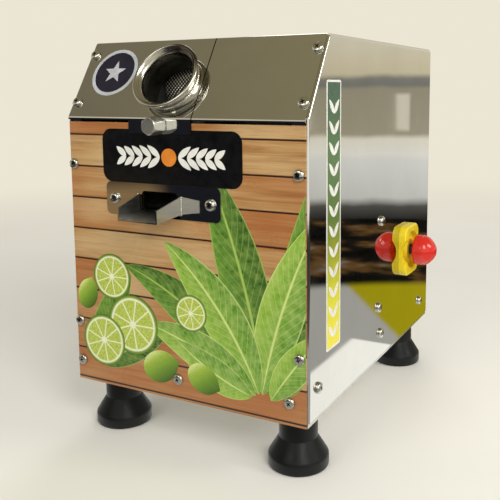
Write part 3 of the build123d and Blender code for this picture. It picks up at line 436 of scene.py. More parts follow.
def citrus_ink():
    """Printed lime wheel: rind, pith, nine segments with pale membranes and juicy flesh."""
    skin = Skin("citrus_ink")
    across, high = skin.print_spot()
    radius = skin.hypot(across, high)
    segment = skin.calc("DIVIDE", skin.calc("ARCTAN2", high, across), math.tau / 9)
    off_middle = skin.absolute(skin.minus(skin.calc("FRACT", segment), 0.5))
    edge = skin.times(skin.minus(0.5, off_middle), radius)
    juice = skin.noise(420, 3, 0.6)
    colour = skin.ramp(juice, [
        (0.3, srgb(150, 172, 46)), (0.55, srgb(186, 202, 84)), (0.75, srgb(222, 226, 150))])
    for share, tint in (
        (skin.below(edge, 0.02, 0.055), srgb(232, 236, 190)),
        (skin.below(radius, 0.08, 0.16), srgb(236, 238, 205)),
        (skin.span(radius, 0.8, 0.84), srgb(232, 236, 196)),
        (skin.span(radius, 0.88, 0.92), srgb(120, 152, 40)),
        (skin.span(radius, 0.955, 0.99), srgb(72, 108, 28)),
    ):
        colour = skin.mix(share, colour, tint)
    return skin.paint(colour, skin.vary(juice, 0.27, 0.38))


def lime_skin_ink():
    """Printed whole lime: lit from the upper left, with pores."""
    skin = Skin("lime_skin_ink")
    across, high = skin.print_spot()
    lit = skin.plus(skin.times(across, -0.5), skin.times(high, 0.6))
    pore = skin.noise(900, 2)
    body = skin.ramp(skin.span(lit, -0.8, 0.8), [
        (0.0, srgb(58, 92, 22)), (0.4, srgb(112, 150, 36)),
        (0.75, srgb(160, 188, 62)), (0.95, srgb(214, 226, 140))])
    colour = skin.mix(skin.span(pore, 0.55, 0.7, 0.0, 0.4), body, srgb(74, 112, 28))
    return skin.paint(colour, skin.vary(pore, 0.27, 0.38))


def strip_ink():
    """Side strip: green at the top running to yellow, with a faint screen mottle."""
    skin = Skin("strip_ink")
    height = skin.axes(skin.place(shift=(0, 0, -BASE_Z)), "Z")[0]
    mottle = skin.noise(120)
    level = skin.plus(skin.span(height, 0.065, 0.345), skin.times(mottle, 0.05))
    colour = skin.ramp(level, [
        (0.02, srgb(244, 230, 40)), (0.22, srgb(220, 216, 44)), (0.38, srgb(156, 162, 34)),
        (0.52, srgb(88, 116, 38)), (0.77, srgb(68, 108, 52)), (1.0, srgb(54, 86, 70))])
    return skin.paint(colour, skin.vary(mottle, 0.3, 0.4))


looks = {"printed_front": plank_print()}
for slot, make, *values in (
    ("polished_steel", polished_steel),
    ("satin_steel", satin_steel, SATIN, 0.26),
    ("mill_iron", cast_metal, srgb(120, 121, 122), 0.85, 0.48, 900.0, 0.35),
    ("roller_steel", turned_metal, srgb(186, 184, 176), 0.24),
    ("bush_bronze", turned_metal, srgb(196, 152, 84), 0.26),
    ("gear_iron", cast_metal, srgb(98, 98, 100), 0.9, 0.36, 1200.0, 0.2),
    ("gearbox_aluminium", cast_metal, srgb(168, 170, 172), 0.9, 0.42, 1100.0, 0.3),
    ("motor_paint", cast_metal, srgb(70, 88, 108), 0.0, 0.36, 700.0, 0.2),
    ("black_plastic", moulded_plastic, srgb(30, 30, 31), 0.42, 0.2),
    ("yellow_plastic", moulded_plastic, srgb(250, 222, 26), 0.3, 0.08),
    ("red_plastic", moulded_plastic, srgb(226, 44, 32), 0.2, 0.05),
    ("foot_rubber", rubber),
    ("screw_steel", satin_steel, srgb(200, 198, 188), 0.16, (300, 300, 300)),
):
    looks[slot] = make(slot, *values)
cover_steel = polished_steel("cover_steel", SEAM_X)
own_looks = {
    "feed_mouth": mouth_steel(), "juice_spout": spout_steel(), "juice_tray": tray_steel(),
    "feed_cover": cover_steel, "drive_cover": cover_steel,
}
for part in record["subparts"]:
    slots = nodes[part["node"]].data.materials
    slots.clear()
    slots.append(own_looks.get(part["node"], looks[part["material_slot"]]))


# Mesh helpers


def put(name, data):
    """A new object in the scene."""
    thing = bpy.data.objects.new(name, data)
    bpy.context.scene.collection.objects.link(thing)
    return thing


def new_mesh(name, points, faces):
    mesh = bpy.data.meshes.new(name)
    mesh.from_pydata(points, [], faces)
    return mesh


def settled(name, work):
    """The mesh of a bmesh that is done."""
    mesh = bpy.data.meshes.new(name)
    work.to_mesh(mesh)
    work.free()
    return mesh


def finish_mesh(name, mesh, materials, angle=35.0, body="cabinet"):
    """Makes an object of a mesh, smooth but for its sharp edges, riding on a body."""
    for material in materials:
        mesh.materials.append(material)
    mesh.polygons.foreach_set("use_smooth", [True] * len(mesh.polygons))
    mesh.set_sharp_from_angle(angle=math.radians(angle))
    piece = put(name, mesh)
    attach(piece, body)
    return piece


def polar(radius, turn):
    return radius * math.cos(turn), radius * math.sin(turn)


def circle(radius, steps):
    """Points round the origin, evenly spaced."""
    return [polar(radius, math.tau * i / steps) for i in range(steps)]


def rounded_outline(width, height, radius, steps=8):
    """Points of a rounded rectangle about the origin, in turn order."""
    points = []
    for quarter, (sx, sy) in enumerate([(1, 1), (-1, 1), (-1, -1), (1, -1)]):
        for step in range(steps + 1):
            x, y = polar(radius, math.pi / 2 * (quarter + step / steps))
            points.append((sx * (width / 2 - radius) + x, sy * (height / 2 - radius) + y))
    return points


def ring_faces(count, inner_start, outer_start):
    """Quads between two rings of points, each numbered from its start."""
    return [
        (inner_start + i, outer_start + i, outer_start + (i + 1) % count, inner_start + (i + 1) % count)
        for i in range(count)
    ]


def fan_faces(count):
    """Triangles from point 0 to the ring that follows it."""
    return [(0, 1 + i, 1 + (i + 1) % count) for i in range(count)]


def wrap(work, rings):
    """Faces between rings of vertices, where a ring of one vertex is a pole."""
    for low, high in zip(rings, rings[1:]):
        steps = max(len(low), len(high))
        for i in range(steps):
            j = (i + 1) % steps
            corners = (low[i % len(low)], low[j % len(low)], high[j % len(high)], high[i % len(high)])
            work.faces.new(list(dict.fromkeys(corners)))


def islands(name):
    """The separate solids of a CAD node, each as a list of its points."""
    work = bmesh.new()
    work.from_mesh(nodes[name].data)
    bmesh.ops.remove_doubles(work, verts=work.verts, dist=1e-6)
    seen = set()
    groups = []
    for first in work.verts:
        if first in seen:
            continue
        seen.add(first)
        queue = [first]
        group = []
        while queue:
            vert = queue.pop()
            group.append(vert.co.copy())
            for edge in vert.link_edges:
                other = edge.other_vert(vert)
                if other not in seen:
                    seen.add(other)
                    queue.append(other)
        groups.append(group)
    work.free()
    return groups


def turned_to(outward):
    """The turn that points local z outward."""
    return outward.to_track_quat("Z", "Y").to_matrix().to_4x4()


def crown_middle(points, outward):
    """The middle of a fastener's outermost points."""
    top = max(point.dot(outward) for point in points)
    crown = [point for point in points if point.dot(outward) > top - NEAR]
    return sum(crown, Vector()) / len(crown)


def spun(profile, steps):
    """A closed surface turned about local z from (radius, height) points."""
    work = bmesh.new()
    rings = []
    for radius, height in profile:
        flat = circle(radius, steps) if radius else [(0, 0)]
        rings.append([work.verts.new((x, y, height)) for x, y in flat])
    wrap(work, rings)
    bmesh.ops.recalc_face_normals(work, faces=work.faces)
    return settled("spun", work)


def cut_away(mesh, cutters):
    """The mesh left after taking the cutters out of it."""
    whole = put("whole", mesh)
    tools = [put("tool", cutter) for cutter in cutters]
    for tool in tools:
        step = whole.modifiers.new("cut", "BOOLEAN")
        step.operation = "DIFFERENCE"
        step.solver = "EXACT"
        step.object = tool
    bpy.context.view_layer.update()
    result = bpy.data.meshes.new_from_object(whole.evaluated_get(bpy.context.evaluated_depsgraph_get()))
    for used in tools + [whole]:
        bpy.data.objects.remove(used)
    return result


def joined(name, placed):
    """One mesh that holds a copy of each template at its matrix."""
    work = bmesh.new()
    for template, matrix in placed:
        copy = template.copy()
        copy.transform(matrix)
        work.from_mesh(copy)
        bpy.data.meshes.remove(copy)
    return settled(name, work)


# Screws and the clamp bolt, in the places of the CAD fasteners

HEAD_R = 0.006
HEAD_H = 0.004
HEAD_STEPS = 32
SHANK_R = 0.0025
SHANK_DEPTH = 0.0015
RIM_H = 0.0013
DOME_R = 0.0032
DOME_H = 0.0026
DOME_STEPS = 9
CROSS_LENGTH = 0.0062
CROSS_WIDTH = 0.0012
CROSS_TAPER = 0.45
CROSS_TOP = HEAD_H + 0.002
RECESS_R = 0.0028
RECESS_LOW = 0.0014
SIDE_SEATS = ((-0.0068, 0.0692), (0.0007, 0.1757), (0.0008, 0.0345))
SEAT_SINK = 0.00002
FORWARD = Vector((0, -1, 0))
BACKWARD = Vector((0, 1, 0))

head_profile = [(0, -SHANK_DEPTH), (SHANK_R, -SHANK_DEPTH), (SHANK_R, 0.0), (HEAD_R - 0.0002, 0.0),
                (HEAD_R, 0.0003), (HEAD_R, RIM_H)]
for step in range(1, DOME_STEPS):
    turn = math.radians(90 * step / DOME_STEPS)
    head_profile.append((HEAD_R - DOME_R + DOME_R * math.cos(turn), RIM_H + DOME_H * math.sin(turn)))
head_profile += [(0.0016, HEAD_H), (0, HEAD_H)]


def cross_bar(turn):
    """One bar of the cross that is cut into a head, narrower at its lower end."""
    points = []
    for height, scale in ((RECESS_LOW, CROSS_TAPER), (CROSS_TOP, 1.0)):
        for sx, sy in ((-1, -1), (1, -1), (1, 1), (-1, 1)):
            points.append((sx * CROSS_LENGTH / 2 * scale, sy * CROSS_WIDTH / 2, height))
    faces = [(3, 2, 1, 0), (4, 5, 6, 7), (0, 1, 5, 4), (1, 2, 6, 5), (2, 3, 7, 6), (3, 0, 4, 7)]
    bar = new_mesh("bar", points, faces)
    bar.transform(Matrix.Rotation(turn, 4, "Z"))
    return bar


cross_bars = [cross_bar(0), cross_bar(math.pi / 2)]


def crossed(profile):
    """A turned head with a cross cut into it, its recess in the second material, which is painted dark as shade.
    """
    mesh = cut_away(spun(profile, HEAD_STEPS), cross_bars)
    for polygon in mesh.polygons:
        x, y, z = polygon.center
        sunk = RECESS_LOW - 0.0002 < z < HEAD_H - 0.0003 and math.hypot(x, y) < RECESS_R
        polygon.material_index = 1 if sunk else 0
    return mesh


pan_head = crossed(head_profile)
# Painted shade: the cross recess is coloured dark steel.
screw_recess_shade = cast_metal("screw_recess_shade", srgb(44, 42, 38), 0.9, 0.5, 2000.0, 0.2)


def screws(name, head, spots, outward):
    """A group of screws with the same head, each at a chance turn."""
    placed = []
    for spot in spots:
        spin = Matrix.Rotation(chance.uniform(0, math.tau), 4, "Z")
        placed.append((head, Matrix.Translation(spot) @ turned_to(outward) @ spin))
    return finish_mesh(name, joined(name, placed), [looks["screw_steel"], screw_recess_shade])


screw_groups = {
    "front_screws": FORWARD,
    "rear_screws": BACKWARD,
    "right_side_screws": Vector((1, 0, 0)),
    "left_side_screws": Vector((-1, 0, 0)),
    "slope_screws": FEED_AXIS,
    "cover_lip_screws": BACKWARD,
    "spout_screws": FORWARD,
    "chute_screws": BACKWARD,
}
for group, outward in screw_groups.items():
    spots = [crown_middle(points, outward) - outward * HEAD_H for points in islands(group)]
    piece = screws(group + "_cross", pan_head, spots, outward)
    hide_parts(group)

seated_head = crossed([(0, 0.0)] + head_profile[3:])
side_spots = [side.at(along, height, -SEAT_SINK) for along, height in SIDE_SEATS]
screws("side_middle_screws", seated_head, side_spots, side.out)

BOLT_HEAD = 0.02
BOLT_FLAT = 0.0085
BOLT_CORNER = BOLT_FLAT / math.cos(math.pi / 6)
BOLT_WASHER = BOLT_FLAT * 0.93
BOLT_SHANK = 0.014
BOLT_SHANK_R = 0.005
HEX_STEPS = 48


def hex_head():
    """A hexagon head with a turned washer face below and chamfered corners above."""
    work = bmesh.new()
    rings = []
    for height, limit in (
        (0.0, BOLT_WASHER), (0.0009, BOLT_WASHER), (0.0009, BOLT_CORNER * 0.97), (0.0021, BOLT_CORNER),
        (BOLT_HEAD - 0.0024, BOLT_CORNER), (BOLT_HEAD - 0.0007, BOLT_CORNER * 0.93),
        (BOLT_HEAD, BOLT_CORNER * 0.84),
    ):
        ring = []
        for i in range(HEX_STEPS):
            turn = math.tau * i / HEX_STEPS
            off_flat = (turn + math.pi / 6) % (math.pi / 3) - math.pi / 6
            x, y = polar(min(BOLT_FLAT / math.cos(off_flat), limit), turn)
            ring.append(work.verts.new((x, y, height)))
        rings.append(ring)
    wrap(work, rings)
    work.faces.new(list(reversed(rings[0])))
    work.faces.new(rings[-1])
    return settled("hex_head", work)


bolt_low, bolt_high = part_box("clamp_bolt")
bolt_seat = (bolt_low + bolt_high) / 2
bolt_seat.y = bolt_low.y + BOLT_HEAD
bolt_matrix = Matrix.Translation(bolt_seat) @ turned_to(FORWARD)
shank = spun([(0, -BOLT_SHANK), (BOLT_SHANK_R - 0.0008, -BOLT_SHANK), (BOLT_SHANK_R, 0.0008 - BOLT_SHANK),
              (BOLT_SHANK_R, 0.0), (0, 0.0)], 24)
bolt_mesh = joined("clamp_bolt_head", [(hex_head(), bolt_matrix), (shank, bolt_matrix)])
bolt_zinc = satin_steel("bolt_zinc", srgb(240, 241, 234), 0.27, (300, 300, 300))
bolt = finish_mesh("clamp_bolt_head", bolt_mesh, [bolt_zinc])
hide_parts("clamp_bolt")

# Knurling that grips the cane, raised on each roller

KNURL_HALF = 0.0365
KNURL_AROUND = 92
KNURL_ALONG = 34
KNURL_PEAK = 0.00075
KNURL_ROOT = 0.00006


def knurl_steel(name, centre):
    """Steel of the knurled barrel: points painted bright as glints and worn, hollows between them painted dark as
    shade and juice.
    """
    skin = Skin(name)
    x, y, z = skin.axes(skin.place(shift=tuple(-centre)))
    turn = skin.times(skin.calc("ARCTAN2", z, y), KNURL_AROUND / 2)
    run = skin.times(skin.plus(x, KNURL_HALF), math.pi * KNURL_ALONG / (2 * KNURL_HALF))
    height = skin.times(skin.calc("COSINE", turn), skin.calc("COSINE", run))
    stain = skin.noise(60, 4, 0.6)
    point = skin.mix(skin.span(stain, 0.35, 0.7), srgb(248, 244, 230), srgb(214, 208, 188))
    # Painted highlight and shade: near-white points and near-black hollows, over real wear and juice.
    colour = skin.mix(skin.span(height, 0.0, 0.6), srgb(14, 14, 11), point)
    return skin.paint(colour, skin.vary(stain, 0.3, 0.42), 0.5)


def knurl(body, centre):
    """Diamond points around a roller's barrel."""
    points = []
    for i in range(KNURL_ALONG + 1):
        x = centre.x + KNURL_HALF * (2 * i / KNURL_ALONG - 1)
        for j in range(KNURL_AROUND):
            peak = (i + j) % 2 == 0 and 0 < i < KNURL_ALONG
            y, z = polar(ROLL_R + (KNURL_PEAK if peak else KNURL_ROOT), math.tau * j / KNURL_AROUND)
            points.append((x, centre.y + y, centre.z + z))
    faces = []
    for i in range(KNURL_ALONG):
        low = i * KNURL_AROUND
        for j in range(KNURL_AROUND):
            k = (j + 1) % KNURL_AROUND
            a, b, c, d = (low + j, low + k, low + KNURL_AROUND + k, low + KNURL_AROUND + j)
            faces += [(a, b, d), (b, c, d)] if (i + j) % 2 == 0 else [(a, b, c), (a, c, d)]
    name = body + "_knurl"
    mesh = new_mesh(name, points, faces)
    finish_mesh(name, mesh, [knurl_steel(name, centre)], 15.0, body)


for body, centre in ROLLERS.items():
    knurl(body, centre)

# Weld beads: around the feed mouth and along the spout's root

WELD_SIDES = 8
MOUTH_WELD_R = 0.0328
MOUTH_WELD_OFF = 0.0002
MOUTH_WELD_STEPS = 360
MOUTH_BEAD_R = 0.0014
MOUTH_RIPPLE = 0.0021
SPOUT_WELD_STEP = 0.0004
SPOUT_WELD_OFF = 0.0004
SPOUT_WALL = (0.027, 0.0285)
SPOUT_BEAD_R = 0.0011
SPOUT_RIPPLE = 0.0019
weld_metal = satin_steel("weld_metal", srgb(222, 219, 208), 0.24, (500, 500, 500))


def weld(name, line, closed, radius, pitch):
    """A bead of overlapping ripples along a line of points."""
    count = len(line)
    points = []
    travelled = 0.0
    for i, point in enumerate(line):
        before = line[i - 1] if closed or i else point
        after = line[(i + 1) % count] if closed or i < count - 1 else point
        ahead = (after - before).normalized()
        lift = FEED_AXIS if abs(ahead.dot(FEED_AXIS)) < 0.9 else FORWARD
        across = ahead.cross(lift).normalized()
        up = across.cross(ahead)
        ripple = 0.84 + 0.22 * abs(math.sin(math.pi * travelled / pitch)) + chance.uniform(-0.05, 0.05)
        for a, b in circle(radius * ripple, WELD_SIDES):
            points.append(point + across * a + up * b)
        travelled += (after - point).length
    quads = []
    for i in range(count if closed else count - 1):
        low = i * WELD_SIDES
        high = (i + 1) % count * WELD_SIDES
        for k in range(WELD_SIDES):
            m = (k + 1) % WELD_SIDES
            quads.append((low + k, low + m, high + m, high + k))
    if not closed:
        quads.append(tuple(range(WELD_SIDES - 1, -1, -1)))
        quads.append(tuple((count - 1) * WELD_SIDES + k for k in range(WELD_SIDES)))
    finish_mesh(name, new_mesh(name, points, quads), [weld_metal], 60.0)


ring_line = [
    FEED_POINT + Vector((a, 0, 0)) + UP_SLOPE * b + FEED_AXIS * MOUTH_WELD_OFF
    for a, b in circle(MOUTH_WELD_R, MOUTH_WELD_STEPS)
]
weld("mouth_weld", ring_line, True, MOUTH_BEAD_R, MOUTH_RIPPLE)

root = [point for point in spout_points if abs(point.y - FLANGE_Y) < NEAR
        and SPOUT_WALL[0] < abs(point.x - SPOUT_X) < SPOUT_WALL[1]]
root_half = max(abs(point.x - SPOUT_X) for point in root) + SPOUT_WELD_OFF
root_low = min(point.z for point in root) - SPOUT_WELD_OFF
root_top = max(point.z for point in root)
corners = []
for x, z in ((-root_half, root_top), (-root_half, root_low), (root_half, root_low), (root_half, root_top)):
    corners.append(Vector((SPOUT_X + x, FLANGE_Y - SPOUT_WELD_OFF, z)))
root_line = []
for start, stop in zip(corners, corners[1:]):
    steps = round((stop - start).length / SPOUT_WELD_STEP)
    root_line += [start.lerp(stop, k / steps) for k in range(steps)]
weld("spout_weld", root_line + corners[-1:], False, SPOUT_BEAD_R, SPOUT_RIPPLE)

# Prints and stickers: thin closed films

INK_STEP = 0.00002
FILM_SINK = 0.00001
LEAF_ROWS = 26
FRONT_TRIM = 0.0004
FRONT_EDGE = (front_high.x - front_low.x) / 2 - FRONT_TRIM
front_trim = [
    (front.at(FRONT_EDGE, 0), front.right), (front.at(-FRONT_EDGE, 0), -front.right),
    (front.at(0, FRONT_TRIM), -front.up),
]


def leaf(base, angle, length, width, bend=0.0):
    """Grid of a broad leaf on a spine bent by some degrees: points, faces and (along, across) values."""
    points = []
    uvs = []
    heading = math.radians(angle)
    spot = Vector(base)
    for i in range(LEAF_ROWS + 1):
        t = i / LEAF_ROWS
        half = width / 2 * (math.sin(math.pi * t ** 0.85) ** 0.8 if 0 < t < 1 else 0.0)
        normal = Vector((-math.sin(heading), math.cos(heading)))
        for s in (-1, -0.5, 0, 0.5, 1):
            points.append(tuple(spot + normal * half * s))
            uvs.append((t, s))
        heading += math.radians(bend) / LEAF_ROWS
        spot = spot + Vector(polar(length / LEAF_ROWS, heading))
    polygons = []
    for i in range(LEAF_ROWS):
        for a in range(i * 5, i * 5 + 4):
            polygons.append((a, a + 5, a + 6, a + 1))
    return points, polygons, uvs


def disc(centre, radius, steps=48):
    """Grid of a round spot: points, faces and (across, high) values."""
    uvs = [(0, 0)] + circle(0.5, steps) + circle(1.0, steps)
    points = [(centre[0] + radius * a, centre[1] + radius * b) for a, b in uvs]
    return points, fan_faces(steps) + ring_faces(steps, 1, 1 + steps), uvs


def whole_lime(centre, length, width, angle):
    """An oval with a small nose at one end."""
    points, polygons, uvs = disc((0.0, 0.0), 1.0)
    turn = Matrix.Rotation(math.radians(angle), 2)
    placed = []
    for a, b in points:
        nose = 0.16 * math.exp(-(b / 0.22) ** 2) * max(0.0, a) ** 2
        spot = turn @ Vector(((a + nose) * length / 2, b * width / 2))
        placed.append((centre[0] + spot.x, centre[1] + spot.y))
    return placed, polygons, [tuple(turn @ Vector(uv)) for uv in uvs]


def star(middle, reach):
    """A five-pointed star."""
    points = [middle]
    for i in range(10):
        x, y = polar(reach if i % 2 == 0 else reach * 0.42, math.pi / 2 + math.tau * i / 10)
        points.append((middle[0] + x, middle[1] + y))
    return points, fan_faces(10), [(0, 0)] * 11


def nested(middle, outlines):
    """A sheet of nested outlines, widest first: a band between each pair, then the middle."""
    points = []
    polygons = []
    count = len(outlines[0])
    for outline in outlines:
        points += [(middle[0] + a, middle[1] + b) for a, b in outline]
    for band in range(len(outlines) - 1):
        polygons += ring_faces(count, (band + 1) * count, band * count)
    polygons.append(tuple(range(len(points) - count, len(points))))
    return points, polygons, [(0, 0)] * len(points)


def film(name, face, shapes, materials, ground, rise, trim=()):
    """Shapes printed or stuck on a face: each a closed sheet, a hair higher than the one before.

    A shape's last polygon has the last material, and the others have the first.
    """
    whole = bmesh.new()
    for layer, (points, polygons, uvs) in enumerate(shapes):
        lift = rise + INK_STEP * layer
        sheet = bmesh.new()
        uv_layer = sheet.loops.layers.uv.new("print")
        verts = [sheet.verts.new(face.at(a, b, ground + lift)) for a, b in points]
        for polygon in polygons:
            made = sheet.faces.new([verts[i] for i in polygon])
            made.material_index = len(materials) - 1 if polygon is polygons[-1] else 0
            for loop, i in zip(made.loops, polygon):
                loop[uv_layer].uv = uvs[i]
        bmesh.ops.remove_doubles(sheet, verts=sheet.verts, dist=1e-7)
        for spot, outward in trim:
            geom = sheet.verts[:] + sheet.edges[:] + sheet.faces[:]
            bmesh.ops.bisect_plane(sheet, geom=geom, plane_co=spot, plane_no=outward, clear_outer=True)
        grown = bmesh.ops.extrude_face_region(sheet, geom=sheet.faces[:])
        under = [item for item in grown["geom"] if isinstance(item, bmesh.types.BMVert)]
        bmesh.ops.translate(sheet, verts=under, vec=face.out * -(lift + FILM_SINK))
        bmesh.ops.recalc_face_normals(sheet, faces=sheet.faces)
        mesh = settled("sheet", sheet)
        whole.from_mesh(mesh)
        bpy.data.meshes.remove(mesh)
    finish_mesh(name, settled(name, whole), materials)


back_leaves = (
    ((0.098, 0.03), 62, 0.235, 0.052, 26),
    ((0.1, 0.032), 98, 0.245, 0.056, 16),
    ((0.092, 0.03), 128, 0.205, 0.05, 34),
    ((0.104, 0.028), 38, 0.07, 0.034, 20),
    ((-0.118, 0.026), 76, 0.12, 0.04, -22),
    ((-0.108, 0.022), 38, 0.11, 0.036, -14),
)
front_leaves = (
    ((0.098, 0.026), 80, 0.205, 0.05, -18),
    ((0.094, 0.026), 112, 0.19, 0.052, 30),
    ((0.09, 0.024), 146, 0.15, 0.044, 22),
    ((0.086, 0.022), 166, 0.105, 0.036, -24),
    ((0.108, 0.022), 58, 0.1, 0.034, -10),
)
limes = (
    ((-0.03, 0.034), 0.046, 0.036, 18),
    ((0.026, 0.03), 0.04, 0.032, -24),
    ((-0.13, 0.104), 0.036, 0.028, 72),
)
lime_wheels = (
    ((-0.094, 0.128), 0.026),
    ((-0.066, 0.076), 0.034),
    ((-0.108, 0.052), 0.03),
    ((0.012, 0.1), 0.02),
)
deep_leaf = leaf_ink("deep_leaf_ink", srgb(44, 86, 26), srgb(84, 132, 38), srgb(168, 196, 88))
bright_leaf = leaf_ink("bright_leaf_ink", srgb(84, 138, 34), srgb(138, 178, 52), srgb(206, 222, 132))
for name, shape, rows, ink, rise in (
    ("front_print_back_leaves", leaf, back_leaves, deep_leaf, 0.00004),
    ("front_print_leaves", leaf, front_leaves, bright_leaf, 0.00018),
    ("front_print_limes", whole_lime, limes, lime_skin_ink(), 0.0003),
    ("front_print_lime_wheels", disc, lime_wheels, citrus_ink(), 0.00038),
):
    film(name, front, [shape(*row) for row in rows], [ink], 0.0, rise, front_trim)

# Name plate, left bare of words: black film with a sprig

PLATE_MID = (-0.03 - MID_X, 0.2655)
PLATE_W = 0.178
PLATE_H = 0.058
PLATE_T = 0.0005
PLATE_CORNER = 0.012
PLATE_DISC_R = 0.0095
PLATE_DISC_T = 0.0005
SPRIG_START = 0.012
SPRIG_REACH = 0.056
SPRIG_LEAF = 0.02
SPRIG_PAIRS = 5
black_film = printed_ink("black_film", srgb(9, 9, 10), srgb(20, 20, 21), 0.2)
white_ink = printed_ink("white_ink", srgb(224, 222, 214), srgb(240, 239, 234))
orange_ink = printed_ink("orange_ink", srgb(214, 120, 26), srgb(232, 142, 44))
plate_sheet = nested(PLATE_MID, [rounded_outline(PLATE_W, PLATE_H, PLATE_CORNER)])
film("name_plate", front, [plate_sheet], [black_film], 0.0, PLATE_T)

sprig = []
for direction, heading in ((-1, 180), (1, 0)):
    for i in range(SPRIG_PAIRS):
        start = (PLATE_MID[0] + direction * (SPRIG_START + SPRIG_REACH * i / SPRIG_PAIRS), PLATE_MID[1])
        for tilt in (-38, 38):
            length = SPRIG_LEAF * (1 - 0.05 * i)
            sprig.append(leaf(start, heading + direction * tilt, length, SPRIG_LEAF * 0.34))
film("name_plate_sprig", front, sprig, [white_ink], PLATE_T, INK_STEP)
film("name_plate_disc", front, [disc(PLATE_MID, PLATE_DISC_R)], [orange_ink], PLATE_T, PLATE_DISC_T)

# Round sticker on the slope and strip on the side

STICKER_T = 0.0002
ROUND_MID = (-0.1232 - MID_X, 0.0553)
ROUND_R = 0.0303
ROUND_INNER_R = 0.0262
ROUND_STEPS = 64
STAR_R = 0.015
navy_ink = printed_ink("navy_ink", srgb(14, 13, 32), srgb(24, 22, 46))
silver_ink = printed_ink("silver_ink", srgb(176, 178, 182), srgb(202, 204, 206), 0.25)
round_sheet = nested(ROUND_MID, [circle(ROUND_R, ROUND_STEPS), circle(ROUND_INNER_R, ROUND_STEPS)])
film("round_sticker", slope, [round_sheet], [silver_ink, navy_ink], 0.0, STICKER_T)
film("round_sticker_star", slope, [star(ROUND_MID, STAR_R)], [silver_ink], STICKER_T, INK_STEP)

STRIP_MID = (-0.1475, 0.205)
STRIP_W = 0.037
STRIP_H = 0.28
STRIP_CORNER = 0.0028
STRIP_EDGE = 0.0022
STRIP_PAIRS = 12
STRIP_PITCH = 0.0213
STRIP_START = -0.128
STRIP_LEAF = (0.019, 0.0065)
strip_outlines = [
    rounded_outline(STRIP_W - 2 * inset, STRIP_H - 2 * inset, STRIP_CORNER - inset)
    for inset in (0.0, STRIP_EDGE)
]
strip_sheet = nested(STRIP_MID, strip_outlines)
film("side_strip", side, [strip_sheet], [white_ink, strip_ink()], 0.0, STICKER_T)
strip_leaves = []
for i in range(STRIP_PAIRS):
    start = (STRIP_MID[0], STRIP_MID[1] + STRIP_START + STRIP_PITCH * i)
    strip_leaves += [leaf(start, angle, *STRIP_LEAF) for angle in (48, 132)]
film("side_strip_leaves", side, strip_leaves, [white_ink], STICKER_T, INK_STEP)

# Stage: a pale floor that fades into a pale world, and soft lamps

PALE = srgb(247, 240, 222)
WORLD_LEVEL = 0.9
FLOOR_HALF = 9


def floor_look():
    skin = Skin("floor_pale")
    colour = skin.ramp(skin.noise(3, 2), [(0.3, srgb(246, 243, 233)), (0.7, srgb(250, 247, 238))])
    skin.paint(colour, 0.7, more={"Specular IOR Level": 0.0})
    reach = skin.hypot(*skin.axes(skin.place(), "XY"))
    far = skin.node("Emission", {"Color": PALE, "Strength": WORLD_LEVEL})
    fade = skin.span(reach, 0.7, 2.4, smooth=True)
    blend = skin.node("MixShader", {0: fade, 1: skin.surface.outputs[0], 2: far.outputs[0]})
    return skin.show(blend.outputs[0])


def staged(name, points, faces, material):
    """A piece of the surroundings."""
    mesh = new_mesh(name, points, faces)
    mesh.materials.append(material)
    thing = put(name, mesh)
    return thing


floor_corners = [(x * FLOOR_HALF, y * FLOOR_HALF, 0) for x, y in ((-1, -1), (1, -1), (1, 1), (-1, 1))]
staged("floor", floor_corners, [(0, 1, 2, 3)], floor_look())

world = bpy.data.worlds.new("studio")
bpy.context.scene.world = world
world.use_nodes = True
sky = Nodes(world.node_tree)
east, height = sky.axes(sky.coords("Generated"), "XZ")
ray = sky.node("LightPath").outputs
overhead = sky.mix(sky.span(east, -0.7, -0.4), srgb(143, 134, 112), srgb(162, 153, 119))
mirrored = sky.mix(sky.span(height, 0.42, 0.6, smooth=True), PALE, overhead)
ambient = sky.mix(ray["Is Glossy Ray"], srgb(186, 184, 178), mirrored)
backdrop = sky.tree.nodes["Background"].inputs
sky.feed(backdrop["Color"], sky.mix(ray["Is Camera Ray"], ambient, PALE))
sky.feed(backdrop["Strength"], WORLD_LEVEL)


def lamp(name, spot, aim, size, watts):
    light = bpy.data.lights.new(name, "AREA")
    light.shape = "RECTANGLE"
    light.size, light.size_y = size
    light.energy = watts
    holder = put(name, light)
    holder.location = spot
    holder.rotation_euler = (Vector(aim) - Vector(spot)).to_track_quat("-Z", "Y").to_euler()


lamp("key", (1.35, -1.2, 1.35), (0, 0, 0.25), (0.8, 0.8), 18)
lamp("front", (-0.25, -1.9, 1.35), (0, 0, 0.3), (0.9, 0.7), 7)
lamp("back", (-0.6, 1.6, 1.7), (0, 0, 0.25), (1.0, 0.7), 9)
lamp("right", (1.9, 0.2, 1.2), (0.1, 0, 0.2), (0.5, 0.5), 9)

# Surroundings that polished metal reflects, and that nothing else sees

ROOM_R = 1.37
ROOM_H = 0.62
ROOM_STEPS = 96
GROUND_Z = 0.002
CLOTH_CORNER = (0.19, 0.255)
CLOTH_SLANT = 1.33


